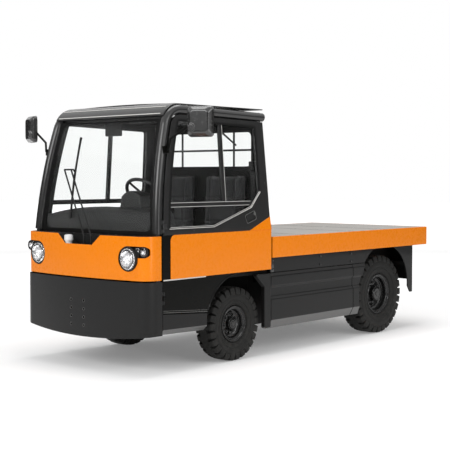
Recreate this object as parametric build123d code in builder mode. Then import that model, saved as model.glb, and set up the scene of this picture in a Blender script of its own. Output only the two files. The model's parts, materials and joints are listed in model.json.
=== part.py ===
from build123d import *
import os
from math import asin, cos, degrees, pi, radians, sin, tan

# Electric platform truck with a two-door cab, in millimetres.
# +X is forward, +Y is the vehicle's left, +Z is up, and the origin is on the ground under its middle.
# Pieces that come in pairs are drawn on the left and mirrored in the plane of symmetry.

os.makedirs("parts", exist_ok=True)

# Overall size: the length is the wheelbase with the two overhangs
wheelbase = 1878
front_overhang = 970
rear_overhang = 712
body_width = 1300
roof_top = 1858
overall_length = front_overhang + wheelbase + rear_overhang
nose_x = overall_length / 2
tail_x = -overall_length / 2
half_width = body_width / 2
front_axle_x = nose_x - front_overhang
rear_axle_x = front_axle_x - wheelbase

# Clearances: sliding and turning fits, open gaps between bodies, and the seam round a door
fit = 0.3
gap = 6
seam = 5

# Wheels and steering
front_hub_z = 270
rear_hub_z = 335
front_tyre_y = half_width - 110
rear_tyre_y = half_width - 125
front_tyre_width = 160
rear_tyre_width = 190
kingpin_y = half_width - 220
kingpin_radius = 14
steering_arm = 130

# Cab
cab_rear_x = nose_x - 1340
door_front_x = nose_x - 197
nose_rear_x = door_front_x + seam
belt_z = 946
side_lean = 4.5
door_thickness = 31
door_bottom = 424
door_top_z = roof_top - 92
band_thickness = 4
floor_top = 424
floor_sheet = 24
platform_top = 636
riser_x = front_axle_x + 350
floor_half_width = half_width - 42
tube_radius = 32
rail_z = roof_top - 53
rail_drop = 20
rail_rear_z = rail_z - rail_drop
bend_radius = 148
bend_x = nose_x - 444
pillar_inset = 22
pillar_foot_z = belt_z + 10
screen_foot = (nose_x - 168, 935)
screen_top = (nose_x - 302, roof_top - 158)
screen_bulge = 23

# Nose
nose_radius = 3750
nose_bow = half_width * half_width / (2 * nose_radius)
corner_radius = 110
bumper_wall = 8
bumper_top = 636
bumper_low_middle = 232
bumper_low_side = 272
panel_setback = 8
panel_wall = 6
panel_bottom = 644
panel_top = 941
inner_setback = panel_setback + panel_wall
notch_top_half = 226
notch_bottom_half = 142
notch_bottom = 872
firewall_front = nose_x - nose_bow - 24
firewall_rear = firewall_front - 24
firewall_top = 880
firewall_half = half_width - 65
well_half = 260
well_bottom = 846
cowl_rear_x = nose_x - 180
lamp_y = half_width - 176
lamp_z = 790
lamp_radius = 74
lamp_hole_radius = 85
indicator_y = half_width - 56
indicator_z = 837
indicator_radius = 34
indicator_hole_radius = 38

# Door hinges: barrels on an upright axis at the front seam
hinge_x = door_front_x - 6
hinge_y = half_width - 2
hinge_radius = 8
hinge_pin_radius = 4
hinge_lower_z = 481
hinge_upper_z = belt_z + 16
hinge_length = 86
hinge_third = 26
hinge_gap = 2

# Deck
deck_front_x = cab_rear_x - 20
deck_length = deck_front_x - tail_x
deck_top = 890
deck_edge = 158
deck_bottom = deck_top - deck_edge
deck_wall = 12
deck_flange = 60
deck_flange_sheet = 8
deck_corner = 10
plate_thickness = 9
plate_gap = 4
plate_margin = 1
plate_shares = (0.182, 0.486, 0.698)
ledge_top = deck_top - plate_thickness
bearer_count = 6
bearer_width = 60
bearer_front_x = deck_front_x - 90
bearer_rear_x = tail_x + 280

# Frame
rail_width = 70
front_rail_y = half_width - 415
front_rail_bottom = 330
front_rail_top = front_rail_bottom + 70
front_rail_end_x = nose_x - 90
rear_rail_y = half_width - 265
rear_rail_top = deck_bottom + deck_flange_sheet
rear_rail_bottom = rear_rail_top - 150
bulkhead_x = (cab_rear_x - 60, cab_rear_x)
tray_x = (rear_axle_x + 478, bulkhead_x[0])
tray_bottom = 190
tray_plate = 16

# Arches, skirts and the panel across the back
arch_x = front_axle_x - 13
arch_z = 285
arch_radius = 362
arch_top = arch_z + arch_radius
rear_arch_x = rear_axle_x - 36
rear_arch_z = 400
rear_arch_radius = 357
skirt_face = half_width - 2
skirt_wall = 10
skirt_inside = skirt_face - skirt_wall
skirt_front_x = front_axle_x - 295
skirt_seam_x = rear_axle_x + 439
skirt_bottom = 195
skirt_top = 617
guard_front_x = rear_arch_x + 144
guard_rear_x = rear_axle_x - 473
rear_sheet = 8
rear_rail_end_x = guard_rear_x + rear_sheet

# The cab's sides lean in above the belt line
lean_cos = cos(radians(side_lean))
lean_sin = sin(radians(side_lean))
lean_slope = tan(radians(side_lean))
door_face = half_width - band_thickness


def leaning_plane(inset):
    """Return the left side's leaning plane, drawn in X and up the slope, moved inwards by a distance."""
    foot = (0, door_face, belt_z)
    return Plane(origin=foot, x_dir=(1, 0, 0), z_dir=(0, -lean_cos, -lean_sin)).offset(inset)


def up(z):
    """Return the distance up the leaning plane at a height."""
    return (z - belt_z) / lean_cos


def side_y(z, inset):
    """Return how far out the leaning plane is at a height."""
    return door_face - inset / lean_cos - (z - belt_z) * lean_slope


def screen_x(z):
    """Return the windscreen's place at a height, on a parabola through its foot and its top."""
    half_rise = (screen_top[1] - screen_foot[1]) / 2
    away = (z - screen_foot[1]) / half_rise - 1
    middle = (screen_foot[0] + screen_top[0]) / 2
    return middle - away * (screen_foot[0] - screen_top[0]) / 2 + screen_bulge * (1 - away * away)


def block(x_span, y_span, z_span, mode=Mode.ADD):
    """Add a box between two places on each axis to the part in hand."""
    spans = (x_span, y_span, z_span)
    middle = tuple((low + high) / 2 for low, high in spans)
    size = tuple(abs(high - low) for low, high in spans)
    with Locations(middle):
        Box(*size, mode=mode)


def disc(plane, place, radius, height, mode=Mode.ADD):
    """Add or cut a cylinder that stands on a plane in the part in hand."""
    with BuildSketch(plane) as ring:
        with Locations(place):
            Circle(radius)
    extrude(ring.sketch, amount=height, mode=mode)


def rod(points, radius):
    """Add a round rod through some points, with ball corners, to the part in hand."""
    for start, end in zip(points, points[1:]):
        run = Vector(*end) - Vector(*start)
        disc(Plane(origin=start, z_dir=run), (0, 0), radius, run.length)
    for corner in points[1:-1]:
        with Locations(corner):
            Sphere(radius)


def barrel(low, height, radius, mode=Mode.ADD):
    """Add or cut an upright cylinder on the left door's hinge axis in the part in hand."""
    disc(Plane.XY.offset(low), (hinge_x, hinge_y), radius, height, mode)


def hinge_leaf(low, x_span, y_span):
    """Add the fixed half of a hinge, two barrels with their leaves and the pin, to the part in hand."""
    for z in (low, low + hinge_length - hinge_third):
        barrel(z, hinge_third, hinge_radius)
        block(x_span, y_span, (z, z + hinge_third))
    barrel(low, hinge_length, hinge_pin_radius)


def save(builder, name):
    """Label a finished piece and write it to its own file."""
    builder.part.label = name
    export_step(builder.part, f"parts/{name}.step")


def save_pair(builder, name):
    """Write a left piece and its mirror image as two pieces."""
    save(builder, f"{name}_left")
    with BuildPart() as other:
        mirror(builder.part, about=Plane.XZ)
    save(other, f"{name}_right")


def many_sided(plane, radius, sides):
    """Return a many-sided outline round a radius, with a flat side down."""
    with BuildSketch(plane) as outline:
        RegularPolygon(radius, sides, major_radius=False, rotation=180 / sides - 90)
    return outline.sketch


def span(middle, half):
    """Return the two ends of a length about its middle."""
    return (middle - half, middle + half)


# Chassis frame: front rails, high rear rails, the tray between them, and outriggers for the skirts
outrigger_half = 20
outrigger_z = (530, 575)
guard_bracket_z = (rear_rail_bottom - 30, rear_rail_bottom + 2)
cross_width = 60
with BuildPart() as chassis_frame:
    front_rail_span = span(front_rail_y, rail_width / 2)
    rear_rail_span = span(rear_rail_y, rail_width / 2)
    tray_side = (rear_rail_span[0], rear_rail_span[0] + tray_plate)
    block((bulkhead_x[1], front_rail_end_x), front_rail_span, (front_rail_bottom, front_rail_top))
    block((rear_rail_end_x, bulkhead_x[0]), rear_rail_span, (rear_rail_bottom, rear_rail_top))
    block(tray_x, tray_side, (tray_bottom, rear_rail_bottom))
    for x in (tray_x[1] - 60, sum(tray_x) / 2, tray_x[0] + outrigger_half):
        block(span(x, outrigger_half), (tray_side[1], skirt_inside), outrigger_z)
    for x in (skirt_seam_x - 41, guard_rear_x + 61):
        block(span(x, outrigger_half), (rear_rail_span[1] - 4, skirt_inside), guard_bracket_z)
    mirror(about=Plane.XZ)
    block(bulkhead_x, span(0, rear_rail_span[1]), (front_rail_bottom, deck_bottom))
    block(tray_x, span(0, tray_side[1]), (tray_bottom, tray_bottom + tray_plate))
    front_cross_x = (front_rail_end_x - cross_width, front_rail_end_x)
    block(front_cross_x, span(0, front_rail_y), (front_rail_bottom, front_rail_top))
    for x in (rear_axle_x - 22, rear_rail_end_x):
        block((x, x + cross_width), span(0, rear_rail_y), (rear_rail_bottom + 30, rear_rail_top))
save(chassis_frame, "chassis_frame")

# Battery: one block in the tray
battery_clearance = 20
with BuildPart() as battery:
    battery_x = (tray_x[0] + battery_clearance, tray_x[1] - battery_clearance)
    block(battery_x, span(0, rear_rail_span[0] - 5), (tray_bottom + tray_plate, deck_bottom - 10))
    fillet(battery.edges().filter_by(Axis.Z), 12)
save(battery, "battery")


# Nose plan: a bowed front with round corners, and straight sides back to the doors
def nose_plan(level, setback, rear_x):
    """Return the nose's outline at a height, set back from the bumper's face."""
    side = half_width - setback
    front = nose_x - setback
    bow = side * side / (2 * nose_radius)
    with BuildSketch(Plane.XY.offset(level)) as plan:
        with BuildLine():
            ThreePointArc((front - bow, -side), (front, 0), (front - bow, side))
            Polyline((front - bow, side), (rear_x, side), (rear_x, -side), (front - bow, -side))
        make_face()
        fillet(plan.vertices().group_by(Axis.X)[-1], corner_radius - setback)
    return plan.sketch


open_rear_x = door_front_x - 20
bolt_z = 397
bolt_spacing_y = 132
bolt_spacing_z = 57
bolt_rows_count = 4
bolt_hole_radius = 9
with BuildPart() as front_bumper:
    bumper_height = bumper_top - bumper_low_middle
    extrude(nose_plan(bumper_low_middle, 0, nose_rear_x), amount=bumper_height)
    hollow = nose_plan(bumper_low_middle, bumper_wall, open_rear_x)
    extrude(hollow, amount=bumper_height, mode=Mode.SUBTRACT)
    with BuildSketch(Plane.YZ.offset(nose_x)):
        below = bumper_low_middle - 20
        with BuildLine():
            ThreePointArc((-half_width, bumper_low_side), (0, bumper_low_middle),
                          (half_width, bumper_low_side))
            Polyline((half_width, bumper_low_side), (half_width, below), (-half_width, below),
                     (-half_width, bumper_low_side))
        make_face()
    extrude(amount=-(nose_x - open_rear_x), mode=Mode.SUBTRACT)
    with BuildSketch(Plane.YZ.offset(nose_x)):
        with Locations((0, bolt_z)):
            with GridLocations(bolt_spacing_y, bolt_spacing_z, 2, bolt_rows_count):
                Circle(bolt_hole_radius)
    extrude(amount=-2 * bumper_wall, mode=Mode.SUBTRACT)
    bracket_bow = front_rail_span[1] * front_rail_span[1] / (2 * nose_radius)
    bracket_x = (front_rail_end_x, nose_x - bracket_bow - 2)
    block(bracket_x, front_rail_span, (front_rail_bottom, front_rail_top))
    hinge_leaf(hinge_lower_z, (hinge_x, nose_rear_x + 12), (half_width - bumper_wall, half_width))
    mirror(about=Plane.XZ)
save(front_bumper, "front_bumper")


def lamp_outline(place_x, inset):
    """Return the left lamp's comma-shaped hole, made smaller by an inset."""
    top = lamp_z + lamp_hole_radius - inset
    low = indicator_z - indicator_hole_radius + inset
    with BuildSketch(Plane.YZ.offset(place_x)) as comma:
        with Locations((lamp_y, lamp_z)):
            Circle(lamp_hole_radius - inset)
        with Locations((indicator_y, indicator_z)):
            Circle(indicator_hole_radius - inset)
        with BuildLine():
            Polyline((lamp_y, top), (indicator_y, top), (indicator_y, low), (lamp_y, low), close=True)
        make_face()
    return comma.sketch


def notch_outline(top_z, bottom_z):
    """Return the notch for the wiper in the top of the front panel."""
    with BuildSketch(Plane.YZ.offset(nose_x)) as notch:
        with BuildLine():
            Polyline((-notch_top_half, top_z), (-notch_bottom_half, bottom_z), (notch_bottom_half, bottom_z),
                     (notch_top_half, top_z), close=True)
        make_face()
    return notch.sketch


with BuildPart() as front_panel:
    panel_height = panel_top - panel_bottom
    extrude(nose_plan(panel_bottom, panel_setback, nose_rear_x), amount=panel_height)
    extrude(nose_plan(panel_bottom, inner_setback, open_rear_x), amount=panel_height, mode=Mode.SUBTRACT)
    lamp_depth = nose_x - firewall_front + 20
    extrude(notch_outline(panel_top + 1, notch_bottom), amount=-lamp_depth, mode=Mode.SUBTRACT)
    left_hole = lamp_outline(nose_x, 0)
    for hole in (left_hole, left_hole.mirror(Plane.XZ)):
        extrude(hole, amount=lamp_depth, dir=(-1, 0, 0), mode=Mode.SUBTRACT)
save(front_panel, "front_panel")

# Cowl: the shelf between the front panel and the windscreen, with a well for the wiper
cowl_top = panel_top - 4
well_cover = 10
with BuildPart() as cowl:
    extrude(nose_plan(firewall_top, inner_setback, cowl_rear_x), amount=cowl_top - firewall_top)
    well_x = (cowl_rear_x + 40, nose_x - inner_setback - well_cover)
    block(well_x, span(0, well_half), (well_bottom, firewall_top))
    notch_depth = nose_x - well_x[0] - well_cover
    extrude(notch_outline(panel_top, notch_bottom - well_cover), amount=-notch_depth, mode=Mode.SUBTRACT)
    for side in (-1, 1):
        foot_y = (side * (half_width - 60), side * (half_width + 30))
        foot_x = (nose_rear_x - 10, cowl_rear_x + 50)
        block(foot_x, foot_y, (firewall_top - 10, panel_top), mode=Mode.SUBTRACT)
save(cowl, "cowl")

# Cab floor: footwell, seat platform over the front wheels and firewall, bent from one sheet
floor_rear_x = cab_rear_x + gap
with BuildPart() as cab_floor:
    with BuildSketch(Plane.XZ.offset(-floor_half_width)):
        with BuildLine():
            Polyline((firewall_front, floor_top - floor_sheet), (riser_x, floor_top - floor_sheet),
                     (riser_x, platform_top - floor_sheet), (floor_rear_x, platform_top - floor_sheet),
                     (floor_rear_x, platform_top), (riser_x + floor_sheet, platform_top),
                     (riser_x + floor_sheet, floor_top), (firewall_front, floor_top), close=True)
        make_face()
    extrude(amount=2 * floor_half_width)
    firewall_x = (firewall_rear, firewall_front)
    block(firewall_x, span(0, firewall_half), (floor_top, firewall_top))
    block(firewall_x, span(0, well_half), (well_bottom, firewall_top), mode=Mode.SUBTRACT)
save(cab_floor, "cab_floor")

# Sills under the doors, ahead of the front wheels, with a wide chamfer below
sill_rear_x = front_axle_x + 336
sill_bottom = 262
with BuildPart() as side_sills:
    with BuildSketch(Plane.XZ.offset(-skirt_face)):
        with BuildLine():
            Polyline((door_front_x, door_bottom - 8), (sill_rear_x, door_bottom - 38),
                     (sill_rear_x, sill_bottom), (door_front_x, bumper_low_side), close=True)
        make_face()
    extrude(amount=skirt_face - floor_half_width)
    lower_edge = side_sills.faces().sort_by(Axis.Y)[-1].edges().sort_by(Axis.Z)[0]
    chamfer(lower_edge, 34)
    mirror(about=Plane.XZ)
save(side_sills, "side_sills")

# Side skirts: folded sheet with a sunk band and a tucked-in lower edge
# Columns: how far in from the face, and the height
skirt_fold = (
    (12, skirt_top), (0, 592), (0, 522), (14, 505), (14, 440), (0, 420), (0, 262), (36, skirt_bottom),
)


def skirt_section(place_x):
    """Return the folded sheet's section across the left side."""
    outside = tuple((skirt_face - inset, z) for inset, z in skirt_fold)
    inside = tuple((y - skirt_wall, z) for y, z in reversed(outside))
    with BuildSketch(Plane.YZ.offset(place_x)) as section:
        with BuildLine():
            Polyline(*outside, *inside, close=True)
        make_face()
    return section.sketch


# The pad behind the front wheel ends each skirt: it has a round lower corner and reaches over the wheel
pad_length = 75
pad_depth = 36
pad_bottom = 205
pad_chamfer_z = (518, 603)
pad_reach = 91
with BuildPart() as side_skirts:
    pad_rear_x = skirt_front_x - pad_length
    skirt_length = pad_rear_x - plate_gap - skirt_seam_x
    extrude(skirt_section(skirt_seam_x), amount=skirt_length)
    with BuildSketch(Plane.XZ.offset(-skirt_face)) as pad:
        with BuildLine():
            Polyline((pad_rear_x, pad_bottom), (skirt_front_x, pad_bottom),
                     (skirt_front_x, pad_chamfer_z[0]), (skirt_front_x + pad_reach, pad_chamfer_z[1]),
                     (skirt_front_x + pad_reach, skirt_top), (pad_rear_x, skirt_top), close=True)
        make_face()
        fillet(pad.vertices().group_by(Axis.Y)[0], 16)
    extrude(amount=pad_depth)
    joint_y = (skirt_face - pad_depth, skirt_inside + 2)
    block(span(pad_rear_x, 40), joint_y, (skirt_fold[6][1], skirt_fold[5][1]))
    mirror(about=Plane.XZ)
save(side_skirts, "side_skirts")

# Panels set back under the deck
upper_panel_sheet = 8
with BuildPart() as upper_side_panels:
    upper_panel_x = (guard_front_x, deck_front_x + 10)
    upper_panel_y = half_width - 20
    block(upper_panel_x, (upper_panel_y - upper_panel_sheet, upper_panel_y), (skirt_top + 3, deck_bottom))
    arch_plane = Plane.XZ.offset(-half_width)
    disc(arch_plane, (rear_arch_x, rear_arch_z), rear_arch_radius, half_width / 2, mode=Mode.SUBTRACT)
    mirror(about=Plane.XZ)
save(upper_side_panels, "upper_side_panels")

# Rear wheel guards: the skirt's fold goes on ahead of the wheel, and a flat flap hangs behind it
flap_bottom = 320
with BuildPart() as rear_guards:
    extrude(skirt_section(skirt_seam_x - plate_gap), amount=guard_front_x - skirt_seam_x + plate_gap)
    with BuildSketch(Plane.XZ.offset(-skirt_face)):
        with BuildLine():
            Polyline((guard_rear_x, flap_bottom), (guard_rear_x + 41, flap_bottom),
                     (guard_rear_x + 96, rear_arch_z), (rear_arch_x - 96, deck_bottom),
                     (guard_rear_x, deck_bottom), close=True)
        make_face()
    extrude(amount=skirt_wall)
    cut_table = ((rear_arch_x, rear_arch_z, rear_arch_radius), (rear_axle_x, rear_hub_z, rear_hub_z + 15))
    for place_x, place_z, radius in cut_table:
        disc(arch_plane, (place_x, place_z), radius, half_width / 2, mode=Mode.SUBTRACT)
    mirror(about=Plane.XZ)
save(rear_guards, "rear_guards")

rear_panel_bottom = 430
with BuildPart() as rear_panel:
    block((guard_rear_x, rear_rail_end_x), span(0, skirt_inside), (rear_panel_bottom, deck_bottom))
save(rear_panel, "rear_panel")

tail_lamp_depth = 24
tail_lamp_z = (560, 640)
with BuildPart() as tail_lamps:
    tail_lamp_x = (guard_rear_x - tail_lamp_depth, guard_rear_x)
    block(tail_lamp_x, (half_width - 180, half_width - 40), tail_lamp_z)
    fillet(tail_lamps.faces().sort_by(Axis.X)[0].edges(), 8)
    mirror(about=Plane.XZ)
save(tail_lamps, "tail_lamps")

# Tow coupling: a jaw with an upright pin hole
coupling_z = 470
coupling_plate = 14
jaw_gap = 60
jaw_plate = 22
jaw_half = 42
coupling_pin_x = guard_rear_x - 91
coupling_pin_radius = 15
with BuildPart() as tow_coupling:
    block((guard_rear_x - coupling_plate, guard_rear_x), span(0, 70), span(coupling_z, 70))
    jaw_root_x = guard_rear_x - coupling_plate + 4
    for z in (coupling_z - jaw_gap / 2 - jaw_plate, coupling_z + jaw_gap / 2):
        with BuildSketch(Plane.XY.offset(z)):
            with BuildLine():
                Polyline((coupling_pin_x, jaw_half), (jaw_root_x, jaw_half + 14),
                         (jaw_root_x, -jaw_half - 14), (coupling_pin_x, -jaw_half))
                ThreePointArc((coupling_pin_x, -jaw_half), (coupling_pin_x - jaw_half, 0),
                              (coupling_pin_x, jaw_half))
            make_face()
            with Locations((coupling_pin_x, 0)):
                Circle(coupling_pin_radius, mode=Mode.SUBTRACT)
        extrude(amount=jaw_plate)
save(tow_coupling, "tow_coupling")

# Deck: channel rim, bearers and plates
with BuildPart() as deck_rails:
    deck_middle_x = (deck_front_x + tail_x) / 2
    # Columns: level, height, width of the ring
    rim_table = (
        (deck_bottom, deck_edge, deck_wall),
        (ledge_top - deck_wall, deck_wall, deck_flange),
    )
    for level, height, width in rim_table:
        with BuildSketch(Plane.XY.offset(level)):
            with Locations((deck_middle_x, 0)):
                Rectangle(deck_length, body_width)
                Rectangle(deck_length - 2 * width, body_width - 2 * width, mode=Mode.SUBTRACT)
        extrude(amount=height)
    for side in (-1, 1):
        flange_y = (side * (half_width - deck_flange), side * half_width)
        block((tail_x, deck_front_x), flange_y, (deck_bottom, rear_rail_top))
    upright = deck_rails.edges().filter_by(Axis.Z).group_by(SortBy.LENGTH)[-1]
    outer = [edge for edge in upright if abs(edge.center().Y) > half_width - 1]
    fillet(outer, deck_corner)
save(deck_rails, "deck_rails")

with BuildPart() as deck_bearers:
    bearer_step = (bearer_front_x - bearer_rear_x) / (bearer_count - 1)
    for step in range(bearer_count):
        bearer_x = span(bearer_front_x - step * bearer_step, bearer_width / 2)
        block(bearer_x, span(0, half_width - deck_wall), (rear_rail_top, ledge_top - deck_wall))
save(deck_bearers, "deck_bearers")

with BuildPart() as deck_plates:
    plate_seams = tuple(deck_front_x - share * deck_length for share in plate_shares)
    fronts = (deck_front_x - deck_wall - plate_margin,) + plate_seams
    rears = plate_seams + (tail_x + deck_wall + plate_margin,)
    for front, rear in zip(fronts, rears):
        plate_x = (rear + plate_gap / 2, front - plate_gap / 2)
        block(plate_x, span(0, half_width - deck_wall - plate_margin), (ledge_top, deck_top))
save(deck_plates, "deck_plates")


# Axles and springs
def leaf_spring(middle_x, middle_z, half_span, rise, y, width, leaf):
    """Add a leaf spring with three leaves and two eyes to the part in hand."""
    side_plane = Plane.XZ.offset(-(y + width / 2))
    for step in range(3):
        reach = half_span * (1 - 0.28 * step)
        lift = rise * (reach / half_span) ** 2
        low = middle_z - step * leaf
        with BuildSketch(side_plane) as strip:
            with BuildLine():
                ThreePointArc((middle_x - reach, low + lift), (middle_x, low),
                              (middle_x + reach, low + lift))
                Line((middle_x + reach, low + lift), (middle_x + reach, low + lift - leaf))
                ThreePointArc((middle_x + reach, low + lift - leaf), (middle_x, low - leaf),
                              (middle_x - reach, low + lift - leaf))
                Line((middle_x - reach, low + lift - leaf), (middle_x - reach, low + lift))
            make_face()
        extrude(strip.sketch, amount=width)
    for end in (-1, 1):
        disc(side_plane, (middle_x + end * half_span, middle_z + rise), leaf * 1.6, width)


# Front axle: a beam that is dropped in the middle, with a boss for each king pin
beam_bottom = 190
beam_top = 260
beam_half = 35
boss_radius = 34
boss_height = 90
boss_bottom = front_hub_z - boss_height / 2
boss_top = front_hub_z + boss_height / 2
with BuildPart() as front_axle:
    beam_end_y = kingpin_y - 20
    with BuildSketch(Plane.YZ.offset(front_axle_x - beam_half)):
        with BuildLine():
            Polyline((0, beam_bottom), (kingpin_y - 220, beam_bottom), (beam_end_y, front_hub_z - 33),
                     (beam_end_y, front_hub_z + 33), (kingpin_y - 130, beam_top), (0, beam_top), close=True)
        make_face()
    extrude(amount=2 * beam_half)
    boss_plane = Plane.XY.offset(boss_bottom)
    bore_radius = kingpin_radius + fit
    disc(boss_plane, (front_axle_x, kingpin_y), boss_radius, boss_height)
    disc(boss_plane, (front_axle_x, kingpin_y), bore_radius, boss_height, mode=Mode.SUBTRACT)
    mirror(about=Plane.XZ)
save(front_axle, "front_axle")

front_leaf = 10
front_spring_rise = 24
with BuildPart() as front_springs:
    front_spring_z = front_rail_bottom - 1.6 * front_leaf - front_spring_rise
    leaf_spring(front_axle_x, front_spring_z, 330, front_spring_rise, front_rail_y, 60, front_leaf)
    mirror(about=Plane.XZ)
save(front_springs, "front_springs")

# Rear axle: a tube with the drive's ball in the middle, the motor ahead of it and a stub for each wheel
axle_tube_radius = 55
rear_stub_radius = 28
rear_tube_half = rear_tyre_y - rear_tyre_width / 2 - 15
drive_radius = 125
motor_radius = 105
motor_length = 430
with BuildPart() as rear_axle:
    axle_line = Plane(origin=(rear_axle_x, 0, rear_hub_z), x_dir=(1, 0, 0), z_dir=(0, 1, 0))
    disc(axle_line.offset(-rear_tube_half), (0, 0), axle_tube_radius, 2 * rear_tube_half)
    disc(axle_line.offset(-rear_tyre_y - 20), (0, 0), rear_stub_radius, 2 * (rear_tyre_y + 20))
    with Locations((rear_axle_x, 0, rear_hub_z)):
        Sphere(drive_radius)
    motor_plane = Plane(origin=(rear_axle_x, 0, rear_hub_z + 20), x_dir=(0, 1, 0), z_dir=(1, 0, 0))
    disc(motor_plane, (0, 0), motor_radius, motor_length)
save(rear_axle, "rear_axle")

rear_leaf = 12
rear_spring_half = 420
rear_spring_rise = 90
rear_spring_width = 50
with BuildPart() as rear_springs:
    rear_spring_z = rear_hub_z + axle_tube_radius + 3 * rear_leaf
    leaf_spring(rear_axle_x, rear_spring_z, rear_spring_half, rear_spring_rise, rear_rail_y,
                rear_spring_width, rear_leaf)
    for end in (-1, 1):
        hanger_x = span(rear_axle_x + end * rear_spring_half, rear_leaf)
        hanger_y = span(rear_rail_y, rear_spring_width / 2)
        block(hanger_x, hanger_y, (rear_spring_z + rear_spring_rise, rear_rail_bottom))
    mirror(about=Plane.XZ)
save(rear_springs, "rear_springs")

# Steering knuckle: a fork round the axle's boss, a pin, a stub for the wheel and an arm for the tie rod
fork_gap = 1
fork_plate = 24
fork_half = 34
fork_reach = 62
fork_web = 22
front_stub_radius = 24
arm_z = boss_bottom - fork_gap - fork_plate
arm_root = 20
arm_end = 14
ball_radius = 8
with BuildPart() as knuckle:
    fork_x = (front_axle_x - fork_half, front_axle_x + fork_half)
    arm_x = front_axle_x - steering_arm
    fork_top = boss_top + fork_gap + fork_plate
    for low in (arm_z, boss_top + fork_gap):
        with BuildSketch(Plane.XY.offset(low)):
            with BuildLine():
                Polyline((fork_x[0], kingpin_y), (fork_x[0], kingpin_y + fork_reach),
                         (fork_x[1], kingpin_y + fork_reach), (fork_x[1], kingpin_y))
                ThreePointArc((fork_x[1], kingpin_y), (front_axle_x, kingpin_y - fork_half),
                              (fork_x[0], kingpin_y))
            make_face()
        extrude(amount=fork_plate)
    block(fork_x, (kingpin_y + fork_reach - fork_web, kingpin_y + fork_reach), (arm_z, fork_top))
    disc(Plane.XY.offset(arm_z), (front_axle_x, kingpin_y), kingpin_radius, fork_top - arm_z)
    stub_y = kingpin_y + fork_reach - fork_web / 2
    stub_plane = Plane(origin=(front_axle_x, stub_y, front_hub_z), x_dir=(1, 0, 0), z_dir=(0, 1, 0))
    disc(stub_plane, (0, 0), front_stub_radius, front_tyre_y + 50 - stub_y)
    with BuildSketch(Plane.XY.offset(arm_z)):
        with BuildLine():
            Polyline((front_axle_x - arm_root, kingpin_y + arm_root), (arm_x, kingpin_y + arm_end),
                     (arm_x, kingpin_y - arm_end), (front_axle_x - arm_root, kingpin_y - arm_root),
                     close=True)
        make_face()
        with Locations((arm_x, kingpin_y)):
            Circle(arm_end)
            Circle(ball_radius + fit, mode=Mode.SUBTRACT)
    extrude(amount=fork_plate)
save_pair(knuckle, "knuckle")

tie_rod_radius = 11
tie_end_radius = 13
with BuildPart() as tie_rod:
    tie_z = arm_z - tie_end_radius - 1
    rod(((arm_x, -kingpin_y, tie_z), (arm_x, kingpin_y, tie_z)), tie_rod_radius)
    for side in (-1, 1):
        end_place = (arm_x, side * kingpin_y)
        disc(Plane.XY.offset(tie_z - tie_end_radius), end_place, tie_end_radius, 2 * tie_end_radius)
        disc(Plane.XY.offset(tie_z), end_place, ball_radius, arm_z - tie_z + fork_plate)
save(tie_rod, "tie_rod")

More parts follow.
